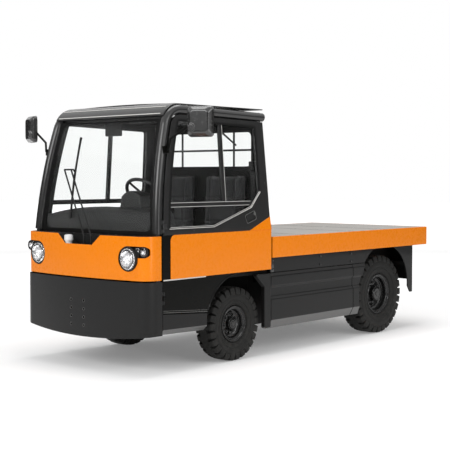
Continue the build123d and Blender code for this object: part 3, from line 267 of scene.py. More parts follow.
@dataclass(frozen=True)
class Coat(Finish):
    """A painted, moulded, metal or rubber surface."""

    rough: Flat = (0.3, 0.4)
    grain: float = 500.0
    bump: float = 0.0002
    coat: float = 0.0
    metal: float = 0.0
    specular: float = 0.5
    mottle: float = 0.06
    dust: float = 0.06
    dust_top: float = 0.6

    def wire(self, made: bpy.types.Material, bench: Bench, shader: bpy.types.Node) -> None:
        """Join the worn surface to the shader.

        Args:
            made: The new material.
            bench: Bench of its node tree.
            shader: Its surface shader.
        """
        low, high = self.rough
        values = {"Colour": (*self.colour, 1.0), "Mottle": self.mottle, "Grain Scale": self.grain,
                  "Dust": self.dust, "Dust Top": self.dust_top, "Rough Low": low, "Rough High": high}
        wear = bench.add("ShaderNodeGroup", values, node_tree=surface_group()).outputs
        bench.feed(shader, {"Base Color": wear["Colour"], "Roughness": wear["Roughness"],
                            "Normal": bench.bump(wear["Height"], self.bump, 0.7), "Metallic": self.metal,
                            "Specular IOR Level": self.specular, "Coat Weight": self.coat,
                            "Coat Roughness": 0.06})
        made.diffuse_color = (*self.colour, 1.0)


@dataclass(frozen=True)
class Pane(Finish):
    """Clear glass or lens plastic that lets the lamps through."""

    clear: float = 0.9
    rib_scale: float = 0.0
    rough: float = 0.02
    ior: float = 1.45

    def wire(self, made: bpy.types.Material, bench: Bench, shader: bpy.types.Node) -> None:
        """Make the shader clear, with a thin film of haze and perhaps ribs, and let light through it.

        Args:
            made: The new material.
            bench: Bench of its node tree.
            shader: Its surface shader.
        """
        place = bench.place()
        film = bench.remap(bench.noise(place, 9.0, 5.0), 0.4, 0.8, self.rough, self.rough + 0.012)
        bench.feed(shader, {"Metallic": 0.0, "Transmission Weight": 1.0, "IOR": self.ior,
                            "Base Color": (*self.colour, 1.0), "Roughness": film})
        if self.rib_scale:
            ribs = bench.add("ShaderNodeTexWave", {"Vector": place, "Scale": self.rib_scale},
                             bands_direction="Y", wave_profile="SIN").outputs["Fac"]
            bench.feed(shader, {"Normal": bench.bump(ribs, 0.0015, 0.8)})
        shadow = bench.add("ShaderNodeLightPath").outputs["Is Shadow Ray"]
        tint = (*(self.clear * c for c in self.colour), 1.0)
        through = bench.add("ShaderNodeBsdfTransparent", {"Color": tint}).outputs["BSDF"]
        mix = bench.add("ShaderNodeMixShader", {"Fac": shadow, 1: shader.outputs["BSDF"], 2: through})
        bench.feed(bench.tree.nodes["Material Output"], {"Surface": mix.outputs["Shader"]})


@dataclass(frozen=True)
class Cloth(Finish):
    """Woven seat cloth."""

    thread: float = 260.0

    def wire(self, made: bpy.types.Material, bench: Bench, shader: bpy.types.Node) -> None:
        """Join the weave to the shader.

        Args:
            made: The new material.
            bench: Bench of its node tree.
            shader: Its surface shader.
        """
        weave = bench.add("ShaderNodeGroup", {"Scale": self.thread}, node_tree=weave_group()).outputs
        pale = tuple(min(1.0, c * 1.9 + 0.004) for c in self.colour)
        ramp = bench.add("ShaderNodeValToRGB", {"Fac": weave["Thread"]})
        for element, colour in zip(ramp.color_ramp.elements, (self.colour, pale)):
            element.color = (*colour, 1.0)
        bench.feed(shader, {"Base Color": ramp.outputs["Color"], "Sheen Weight": 0.05,
                            "Roughness": bench.remap(weave["Thread"], 0.0, 1.0, 0.8, 0.95),
                            "Normal": bench.bump(weave["Height"], 0.0006, 0.8)})


def grey(level: float) -> Colour:
    """Return a plain grey."""
    return (level, level, level)


ORANGE = Coat("orange_paint", (0.86, 0.225, 0.004), (0.24, 0.32), 900.0, 0.00003, coat=0.06, specular=0.22,
              mottle=0.02, dust=0.0)
GREY_GLOSS = Coat("grey_gloss_paint", grey(0.026), (0.2, 0.28), 900.0, 0.00003, coat=0.2, specular=0.35,
                  dust=0.01)
GREY_SATIN = Coat("grey_satin_paint", grey(0.008), (0.36, 0.46), 1300.0, 0.00012, coat=0.18, specular=0.14,
                  dust=0.03, dust_top=0.45)
# Lighter grey with heavier dust for the low, downward-facing chamfers of the flanks: painted light reflected
# up from the pale floor.
GREY_FLOOR_LIT_EDGE = Coat("grey_lower_edge", (0.09, 0.09, 0.088), (0.3, 0.42), 1300.0, 0.00012, coat=0.3, dust=0.2,
                 dust_top=0.45)
# Lighter dull grey: rings round the coupling holes and the handle recess's outline as painted highlights on
# their edges, and the door hems and lock barrel as dull trim.
TRIM_AND_HIGHLIGHT = Coat("dull_trim", (0.11, 0.11, 0.105), (0.25, 0.35), 500.0, 0.00005, specular=0.5, dust=0.0)
SHELL = Coat("mirror_shell_plastic", grey(0.024), (0.2, 0.3), 900.0, 0.0001, coat=0.5, dust=0.0)
DOOR_BLACK = Coat("door_black_paint", (0.0024, 0.0025, 0.002), (0.26, 0.34), 900.0, 0.00003, specular=0.1,
                  dust=0.01)
CHASSIS = Coat("chassis_black_paint", grey(0.005), (0.5, 0.7), 700.0, 0.0004, specular=0.2, dust=0.1,
               dust_top=0.4)
PLASTIC = Coat("grained_black_plastic", grey(0.009), (0.42, 0.55), 850.0, 0.0005, specular=0.25, dust=0.01)
RUBBER = Coat("seal_rubber", grey(0.003), (0.5, 0.65), 600.0, 0.0002, specular=0.15, dust=0.01)
TREAD = Coat("tyre_rubber", (0.008, 0.008, 0.0075), (0.55, 0.75), 260.0, 0.0005, specular=0.22, mottle=0.25,
             dust=0.12, dust_top=0.7)
RIM = Coat("rim_black_gloss", grey(0.005), (0.22, 0.32), 700.0, 0.00005, coat=0.2, specular=0.35, dust=0.05)
DECK = Coat("deck_grey_coating", (0.36, 0.345, 0.325), (0.5, 0.62), 420.0, 0.0003, specular=0.3, mottle=0.12,
            dust=0.0)
STEEL = Coat("bright_steel", (0.6, 0.6, 0.61), (0.2, 0.32), 500.0, 0.0001, metal=1.0, dust=0.0)
CHROME = Coat("chrome", (0.9, 0.9, 0.91), (0.05, 0.09), 60.0, 0.0001, metal=1.0, dust=0.0, mottle=0.02)
# Pale satin metal: painted highlights across the roof's front bend and along the door band's lower edge, and
# the window's real metal strips.
SILVER_AND_HIGHLIGHT = Coat("silver_trim", (0.72, 0.71, 0.68), (0.3, 0.4), 500.0, 0.0001, metal=0.4, dust=0.0)
CAP_WHITE = Coat("pale_cap_plastic", grey(0.7), (0.3, 0.4), 400.0, 0.0002, dust=0.0)
RED = Coat("red_lens_plastic", (0.45, 0.008, 0.008), (0.1, 0.18), 160.0, 0.0006, coat=0.6, dust=0.0)
AMBER = Coat("amber_lens_plastic", (0.75, 0.2, 0.01), (0.1, 0.18), 160.0, 0.0006, coat=0.6, dust=0.0)
GLASS = Pane("window_glass", (0.975, 0.985, 0.98), rough=0.0, ior=1.15)
LENS = Pane("lamp_lens", grey(0.97), 0.95, rib_scale=22.0)
SEAT = Cloth("woven_seat_cloth", (0.0035, 0.0035, 0.004))


# Shaping

STILL = (0.0, 0.0, 0.0)
MIRROR = (1.0, -1.0, 1.0)
# How near doubled vertices lie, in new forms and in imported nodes
WELD = 1e-6
PACK_WELD = 2e-5
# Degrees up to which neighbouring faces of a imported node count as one
LEVEL_TURN = 0.6


def verts_of(geom: Iterable) -> list[bmesh.types.BMVert]:
    """Return the vertices among mixed geometry."""
    return [g for g in geom if isinstance(g, bmesh.types.BMVert)]


class Form:
    """A mesh in the making, in metres in the truck's own frame."""

    def __init__(self) -> None:
        """Start with an empty mesh."""
        self.bm = bmesh.new()

    def chain(self, points: Iterable[Point], closed: bool = False) -> list[bmesh.types.BMEdge]:
        """Add a chain of edges.

        Args:
            points: Places of the chain's vertices in order.
            closed: Whether the last vertex joins the first.

        Returns:
            The new edges in order.
        """
        verts = [self.bm.verts.new(p) for p in points]
        pairs = list(zip(verts, verts[1:])) + ([(verts[-1], verts[0])] if closed else [])
        return [self.bm.edges.new(pair) for pair in pairs]

    def bevel(self, geom: Iterable, width: float, segments: int = 2, clamp: bool = True) -> "Form":
        """Round edges off.

        Args:
            geom: Edges to round.
            width: Width of the rounding.
            segments: Faces across it.
            clamp: Whether roundings stop where they meet.

        Returns:
            This form.
        """
        bmesh.ops.bevel(self.bm, geom=list(geom), offset=width, offset_type="OFFSET", segments=segments,
                        profile=0.5, affect="EDGES", clamp_overlap=clamp, material=-1)
        return self

    def weld(self) -> "Form":
        """Merge doubled vertices and turn the faces outwards.

        Returns:
            This form.
        """
        bmesh.ops.remove_doubles(self.bm, verts=self.bm.verts, dist=WELD)
        bmesh.ops.recalc_face_normals(self.bm, faces=self.bm.faces)
        return self

    def box(self, low: Point, high: Point, bevel: float = 0.0, turn: Matrix | None = None,
            segments: int = 2) -> "Form":
        """Add a box with rounded edges.

        Args:
            low: Lowest corner.
            high: Highest corner.
            bevel: Width of the rounding.
            turn: Turn about the box's own middle.
            segments: Faces across the rounding.

        Returns:
            This form.
        """
        middle = (Vector(low) + Vector(high)) / 2
        size = Vector(high) - Vector(low)
        place = Matrix.Translation(middle) @ (turn.to_4x4() if turn else Matrix.Identity(4))
        made = bmesh.ops.create_cube(self.bm, size=1.0, matrix=place @ Matrix.Diagonal((*size, 1.0)))
        if bevel:
            self.bevel({e for v in made["verts"] for e in v.link_edges}, bevel, segments)
        return self

    def turned(self, profile: Iterable[Flat], centre: Point, axis: Point, steps: int = 64,
               closed: bool = False) -> "Form":
        """Spin a profile about an axis.

        Args:
            profile: Pairs of place along the axis and radius.
            centre: Point on the axis that the places count from.
            axis: Direction of the axis.
            steps: Faces round the turn.
            closed: Whether the profile is a closed loop.

        Returns:
            This form.
        """
        line = Vector(axis).normalized()
        out = line.orthogonal().normalized()
        start = Vector(centre)
        edges = self.chain([start + line * along + out * radius for along, radius in profile], closed)
        verts = list({v for e in edges for v in e.verts})
        bmesh.ops.spin(self.bm, geom=verts + edges, cent=start, axis=line, dvec=STILL, angle=math.tau,
                       steps=steps, use_merge=True, use_normal_flip=False, use_duplicate=False)
        return self.weld()

    def ring(self, along: float, radius: float, thick: float, centre: Point, axis: Point, sides: int,
             steps: int) -> "Form":
        """Add a round ring about an axis.

        Args:
            along: Its place along the axis.
            radius: Radius of its middle line.
            thick: Half of its thickness.
            centre: Point on the axis that the place counts from.
            axis: Direction of the axis.
            sides: Corners of its section.
            steps: Faces round the turn.

        Returns:
            This form.
        """
        angles = [k * math.tau / sides for k in range(sides)]
        loop = [(along + thick * math.cos(a), radius + thick * math.sin(a)) for a in angles]
        return self.turned(loop, centre, axis, steps, True)

    def plate(self, outline: Iterable[Point], push: Point, bevel: float = 0.0, segments: int = 2) -> "Form":
        """Add a flat plate.

        Args:
            outline: Corners of one face.
            push: Way from that face to the other.
            bevel: Width of the rounded edges.
            segments: Faces across the rounding.

        Returns:
            This form.
        """
        face = self.bm.faces.new([self.bm.verts.new(p) for p in outline])
        first = list(face.verts)
        grown = bmesh.ops.extrude_face_region(self.bm, geom=[face])["geom"]
        moved = verts_of(grown)
        bmesh.ops.translate(self.bm, verts=moved, vec=Vector(push))
        if bevel:
            self.bevel({e for v in first + moved for e in v.link_edges}, bevel, segments)
        bmesh.ops.recalc_face_normals(self.bm, faces=self.bm.faces)
        return self

    def band(self, outer: Sequence[Point], inner: Sequence[Point], thick: float) -> "Form":
        """Add a frame between two closed loops with the same number of points.

        Args:
            outer: Points of the outer loop.
            inner: Points of the inner loop.
            thick: Thickness of the frame.

        Returns:
            This form.
        """
        edges = self.chain(outer, True) + self.chain(inner, True)
        faces = bmesh.ops.bridge_loops(self.bm, edges=edges)["faces"]
        bmesh.ops.recalc_face_normals(self.bm, faces=faces)
        bmesh.ops.solidify(self.bm, geom=faces, thickness=thick)
        bmesh.ops.recalc_face_normals(self.bm, faces=self.bm.faces)
        return self

    def swept(self, path: Sequence[Point], half_width: float, half_height: float, up: Point = (0.0, 0.0, 1.0),
              sides: int = 8, closed: bool = False) -> "Form":
        """Push a round or oval section along a path.

        Args:
            path: Points of the path.
            half_width: Half of the section's size across the path.
            half_height: Half of its size along the upward hint.
            up: Hint for the section's height.
            sides: Corners of the section.
            closed: Whether the path is a loop.

        Returns:
            This form.
        """
        points = [Vector(p) for p in path]
        count = len(points)
        frames = []
        for i, point in enumerate(points):
            before = points[i - 1] if i or closed else point
            after = points[(i + 1) % count] if i + 1 < count or closed else point
            run = ((point - before).normalized() + (after - point).normalized()).normalized()
            side = run.cross(Vector(up)).normalized()
            top = side.cross(run)
            frames.append(Matrix((side, top, run)).transposed().to_4x4())
            frames[-1].translation = point
        shape = Matrix.Diagonal((half_width, half_height, 1.0, 1.0))
        ring = bmesh.ops.create_circle(self.bm, cap_ends=not closed, segments=sides, radius=1.0,
                                       matrix=frames[0] @ shape)["verts"]
        edges = list({e for v in ring for e in v.link_edges})
        first = edges
        for old, new in zip(frames, frames[1:]):
            grown = bmesh.ops.extrude_edge_only(self.bm, edges=edges)["geom"]
            verts = verts_of(grown)
            bmesh.ops.transform(self.bm, matrix=new @ old.inverted(), verts=verts)
            ends = set(verts)
            edges = [g for g in grown if isinstance(g, bmesh.types.BMEdge) and ends.issuperset(g.verts)]
        if closed:
            bmesh.ops.bridge_loops(self.bm, edges=first + edges)
        else:
            bmesh.ops.edgeloop_fill(self.bm, edges=edges)
        return self.weld()

    def round_copies(self, centre: Point, axis: Point, count: int) -> "Form":
        """Repeat the whole form evenly round an axis, count times in all.

        Args:
            centre: Point on the axis.
            axis: Direction of the axis.
            count: Copies in all, with the first.

        Returns:
            This form.
        """
        bmesh.ops.spin(self.bm, geom=self.all(), cent=Vector(centre), axis=Vector(axis), dvec=STILL,
                       angle=math.tau * (count - 1) / count, steps=count - 1, use_merge=False,
                       use_duplicate=True)
        return self

    def all(self) -> list:
        """Return all vertices, edges and faces."""
        return [*self.bm.verts, *self.bm.edges, *self.bm.faces]

    def take(self, other: "Form") -> "Form":
        """Add another form's mesh, and free that form.

        Args:
            other: The form to take in.

        Returns:
            This form.
        """
        loose = bpy.data.meshes.new("loose")
        other.bm.to_mesh(loose)
        other.bm.free()
        self.bm.from_mesh(loose)
        bpy.data.meshes.remove(loose)
        return self

    def both_sides(self) -> "Form":
        """Add the mirror image across the truck.

        Returns:
            This form.
        """
        made = bmesh.ops.duplicate(self.bm, geom=self.all())["geom"]
        bmesh.ops.scale(self.bm, vec=MIRROR, verts=verts_of(made))
        bmesh.ops.reverse_faces(self.bm, faces=[g for g in made if isinstance(g, bmesh.types.BMFace)])
        return self

    def to_side(self, side: Side, middle: float = 0.0) -> "Form":
        """Move a form that was drawn on the left to its own side, by a mirror that stands at a place in Y.

        Args:
            side: Side that the form belongs on.
            middle: Place of the mirror in Y.

        Returns:
            This form.
        """
        if side is Side.RIGHT:
            space = Matrix.Translation((0.0, -middle, 0.0))
            bmesh.ops.scale(self.bm, vec=MIRROR, verts=self.bm.verts, space=space)
            bmesh.ops.reverse_faces(self.bm, faces=self.bm.faces)
        return self


class Workshop:
    """Turns forms into pieces that ride on the truck's bodies."""

    def __init__(self, frame: dict) -> None:
        """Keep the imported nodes."""
        self.nodes = frame["nodes"]

    def piece(self, form: Form, name: str, finish: Finish, body: str = "truck",
              replaces: Iterable[str] = (), smooth: float = 38.0) -> bpy.types.Object:
        """Make an object of a form.

        Args:
            form: The finished mesh.
            name: Name of the piece.
            finish: Its surface.
            body: Body that it rides on.
            replaces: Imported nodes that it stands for.
            smooth: Edge angle in degrees up to which shading is smooth.

        Returns:
            The new object.
        """
        mesh = bpy.data.meshes.new(name)
        form.bm.to_mesh(mesh)
        form.bm.free()
        stale = mesh.attributes.get("custom_normal")
        if stale:
            mesh.attributes.remove(stale)
        mesh.materials.clear()
        mesh.materials.append(finish.material())
        mesh.polygons.foreach_set("material_index", [0] * len(mesh.polygons))
        mesh.shade_smooth()
        mesh.set_sharp_from_angle(angle=math.radians(smooth))
        made = bpy.data.objects.new(name, mesh)
        bpy.context.scene.collection.objects.link(made)
        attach(made, body)
        if replaces:
            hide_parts(*replaces)
        LOG.info("%s on %s: %d faces", name, body, len(mesh.polygons))
        return made

    def dress(self, finish: Finish, *nodes: str) -> None:
        """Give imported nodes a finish.

        Args:
            finish: The surface.
            nodes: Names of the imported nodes.
        """
        for node in nodes:
            mesh = self.nodes[node].data
            mesh.materials.clear()
            mesh.materials.append(finish.material())
            LOG.info("%s dressed in %s", node, finish.name)

    def second(self, made: bpy.types.Object, finish: Finish,
               test: Callable[[bpy.types.MeshPolygon], bool]) -> None:
        """Give some faces of a piece a second finish.

        Args:
            made: The piece.
            finish: The second finish.
            test: Tells whether a face gets it.
        """
        made.data.materials.append(finish.material())
        for face in made.data.polygons:
            if test(face):
                face.material_index = 1

    def softened(self, node: str, finish: Finish, width: float, body: str = "truck",
                 angle: float = 32.0, segments: int = 2) -> bpy.types.Object:
        """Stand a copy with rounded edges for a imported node.

        Args:
            node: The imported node.
            finish: Surface of the copy.
            width: Width of the rounding.
            body: Body that carries it.
            angle: Least angle in degrees of an edge that is rounded.
            segments: Faces across the rounding.

        Returns:
            The new piece.
        """
        form = Form()
        form.bm.from_mesh(self.nodes[node].data)
        bmesh.ops.remove_doubles(form.bm, verts=form.bm.verts, dist=PACK_WELD)
        bmesh.ops.dissolve_limit(form.bm, angle_limit=math.radians(LEVEL_TURN), verts=form.bm.verts,
                                 edges=form.bm.edges, use_dissolve_boundaries=False, delimit=set())
        least = math.radians(angle)
        sharp = [e for e in form.bm.edges if len(e.link_faces) == 2 and e.calc_face_angle(0.0) > least]
        form.bevel(sharp, width, segments, clamp=False)
        made = self.piece(form, f"{node}_panel", finish, body, (node,), 60.0)
        flat = made.modifiers.new("even_shading", "WEIGHTED_NORMAL")
        flat.keep_sharp = True
        return made


# Shared directions, and places of the body in metres

FORWARD = (1, 0, 0)
SIDEWAYS = (0, 1, 0)
UPWARD = (0, 0, 1)
NOSE_X = 1.780
BELT = 0.946
DOOR_FACE = 0.646
LEAN = math.tan(math.radians(4.5))
SCREEN_FOOT = 0.935
SCREEN_HALF = 0.3825
SCREEN_MIDDLE_X = 1.545
SCREEN_RAKE = 0.067
SCREEN_BOW = 0.023


def side_y(z: float, inset: float = 0.0) -> float:
    """Return how far out the left side's leaning plane is at a height, moved inwards by an inset."""
    return DOOR_FACE - inset - (z - BELT) * LEAN


def screen_x(z: float) -> float:
    """Return how far forward the windscreen's face is at a height."""
    away = (z - SCREEN_FOOT) / SCREEN_HALF - 1.0
    return SCREEN_MIDDLE_X - SCREEN_RAKE * away + SCREEN_BOW * (1.0 - away * away)


def rounded(corners: Sequence[Flat], radius: float, steps: int = 5) -> list[Flat]:
    """Round the corners of a closed flat outline.

    Args:
        corners: Corners in order.
        radius: How far from each corner its bend starts.
        steps: Points in each bend.

    Returns:
        The outline's points, the same number for each corner.
    """
    points = []
    count = len(corners)
    for i in range(count):
        here = Vector(corners[i])
        ends = []
        for other in (Vector(corners[i - 1]), Vector(corners[(i + 1) % count])):
            way = other - here
            ends.append(here + way.normalized() * min(radius, way.length * 0.45))
        for step in range(steps):
            t = step / (steps - 1)
            spot = ends[0] * (1 - t) ** 2 + here * 2 * t * (1 - t) + ends[1] * t * t
            points.append((spot.x, spot.y))
    return points


def inset(corners: Sequence[Flat], depth: float) -> list[Flat]:
    """Move a closed flat outline inwards.

    Args:
        corners: Corners in order.
        depth: Distance inwards, or outwards where it is negative.

    Returns:
        The moved corners.
    """
    area = sum(a[0] * b[1] - b[0] * a[1] for a, b in zip(corners, [*corners[1:], corners[0]]))
    sign = 1.0 if area > 0 else -1.0
    moved = []
    count = len(corners)
    for i in range(count):
        a, b, c = Vector(corners[i - 1]), Vector(corners[i]), Vector(corners[(i + 1) % count])
        first, second = (b - a).normalized(), (c - b).normalized()
        left = Vector((-first.y, first.x)) * sign
        right = Vector((-second.y, second.x)) * sign
        middle = (left + right).normalized()
        spot = b + middle * depth / max(0.3, middle.dot(left))
        moved.append((spot.x, spot.y))
    return moved


WHITE = (1.0, 1.0, 1.0, 1.0)
FLOOR_GREY = (0.8, 0.8, 0.8, 1.0)
CURTAIN_GREY = (0.03, 0.03, 0.03, 1.0)
# Name, place, aim, width and height of the face, and watts of each lamp
LAMPS = (
    ("front_lamp", (8.0, 1.0, 4.2), (1.0, 0.0, 0.8), (4.5, 3.0), 300.0),
    ("side_lamp", (0.5, 8.0, 4.5), (0.0, 0.0, 0.8), (6.0, 3.0), 195.0),
    ("strip_lamp", (2.3, 7.2, 1.5), (1.5, 0.0, 1.0), (0.6, 2.8), 50.0),
    ("top_lamp", (-0.4, 0.0, 6.5), (-0.4, 0.0, 0.0), (5.0, 3.0), 210.0),
)


@dataclass(frozen=True)
class Studio:
    """Pale floor, soft lamps, white surroundings and the camera."""

    floor_size: float = 80.0
    eye: tuple[float, float, float] = (6.5866, 5.6799, 1.3393)
    yaw: float = 41.8
    pitch: float = 2.6
    lens: float = 84.93
    sensor: float = 36.0
    sky: float = 0.62
    floor_fade: Flat = (2.5, 8.0)
    floor_glow: Flat = (0.2, 0.7)
    curtain_radius: float = 11.0
    curtain_height: float = 4.5

    def seen(self, bench: Bench, *kinds: str) -> bpy.types.NodeSocket:
        """Return a socket that is 1 on rays sent straight by the camera, through glass or by the kinds.

        Args:
            bench: Bench of its node tree.
            kinds: Further kinds of rays that count.

        Returns:
            The socket.
        """
        path = bench.add("ShaderNodeLightPath").outputs
        total = path["Is Camera Ray"]
        for kind in ("Transmission", *kinds):
            total = bench.math("ADD", total, path[f"Is {kind} Ray"], clamp=True)
        return total

    def cover(self, bench: Bench, seen: Feed, plain: bpy.types.Node, shown: bpy.types.Node) -> None:
        """Finish the cover of a studio piece.

        Args:
            bench: Bench of the cover's material.
            seen: Socket that is 1 on the rays that get the shown shader.
            plain: Shader for all other rays.
            shown: Shader for those rays.
        """
        mix = bench.add("ShaderNodeMixShader", {"Fac": seen, 1: plain.outputs[0], 2: shown.outputs[0]})
        bench.feed(bench.tree.nodes["Material Output"], {"Surface": mix.outputs[0]})

    def staged(self, form: Form, name: str) -> Bench:
        """Set up one piece of the studio.

        Args:
            form: Its mesh.
            name: Its name.

        Returns:
            The bench of its cover's material, which has no shader yet.
        """
        mesh = bpy.data.meshes.new(name)
        form.bm.to_mesh(mesh)
        form.bm.free()
        made = bpy.data.objects.new(name, mesh)
        bpy.context.scene.collection.objects.link(made)
        cover = bpy.data.materials.new(f"{name}_cover")
        cover.use_nodes = True
        cover.node_tree.nodes.remove(cover.node_tree.nodes["Principled BSDF"])
        mesh.materials.append(cover)
        return Bench(cover.node_tree)

    def floor(self) -> None:
        """Lay the pale floor, which keeps the truck's shadow."""
        form = Form()
        bmesh.ops.create_grid(form.bm, x_segments=1, y_segments=1, size=self.floor_size / 2)
        bench = self.staged(form, "floor")
        dull = bench.add("ShaderNodeBsdfDiffuse", {"Color": FLOOR_GREY})
        away = bench.add("ShaderNodeVectorMath", {0: bench.place()}, operation="LENGTH").outputs["Value"]
        fade = bench.remap(away, *self.floor_fade, *self.floor_glow)
        glow = bench.add("ShaderNodeEmission", {"Color": WHITE, "Strength": fade})
        white = bench.add("ShaderNodeAddShader", {0: dull.outputs[0], 1: glow.outputs[0]})
        self.cover(bench, self.seen(bench, "Glossy"), dull, white)

    def curtain(self) -> None:
        """Hang a dark curtain all round, which the camera sees through and paint reflects."""
        form = Form()
        ring = bmesh.ops.create_circle(form.bm, segments=48, radius=self.curtain_radius)["verts"]
        edges = list({edge for vert in ring for edge in vert.link_edges})
        wall = bmesh.ops.extrude_edge_only(form.bm, edges=edges)["geom"]
        bmesh.ops.translate(form.bm, verts=verts_of(wall), vec=(0, 0, self.curtain_height))
        bench = self.staged(form, "curtain")
        cloth = bench.add("ShaderNodeBsdfDiffuse", {"Color": CURTAIN_GREY})
        self.cover(bench, self.seen(bench), cloth, bench.add("ShaderNodeBsdfTransparent"))

    def surroundings(self) -> None:
        """Make the world white where it is seen, and a soft light elsewhere."""
        world = bpy.data.worlds.new("studio")
        world.use_nodes = True
        bpy.context.scene.world = world
        bench = Bench(world.node_tree)
        level = bench.remap(self.seen(bench, "Glossy"), 0.0, 1.0, self.sky, 1.0)
        bench.feed(world.node_tree.nodes["Background"], {"Color": WHITE, "Strength": level})

    def lamp(self, name: str, place: Point, aim: Point, size: Flat, power: float) -> None:
        """Hang one soft lamp.

        Args:
            name: Name of the lamp.
            place: Where it hangs.
            aim: What it points at.
            size: Width and height of its face.
            power: Power in watts.
        """
        data = bpy.data.lights.new(name, "AREA")
        data.shape = "RECTANGLE"
        data.size, data.size_y = size
        data.energy = power
        made = bpy.data.objects.new(name, data)
        made.location = place
        made.rotation_euler = (Vector(aim) - Vector(place)).to_track_quat("-Z", "Y").to_euler()
        bpy.context.scene.collection.objects.link(made)

    def build(self) -> None:
        """Set up the whole studio."""
        self.floor()
        self.surroundings()
        self.curtain()
        for row in LAMPS:
            self.lamp(*row)
        yaw, pitch = math.radians(self.yaw), math.radians(self.pitch)
        way = Vector((-math.cos(yaw) * math.cos(pitch), -math.sin(yaw) * math.cos(pitch), -math.sin(pitch)))
        data = bpy.data.cameras.new("camera")
        data.lens = self.lens
        data.sensor_width = self.sensor
        data.clip_end = 200.0
        camera = bpy.data.objects.new("camera", data)
        camera.location = self.eye
        camera.rotation_euler = way.to_track_quat("-Z", "Y").to_euler()
        bpy.context.scene.collection.objects.link(camera)
        bpy.context.scene.camera = camera
        bpy.context.scene.view_settings.view_transform = "Standard"


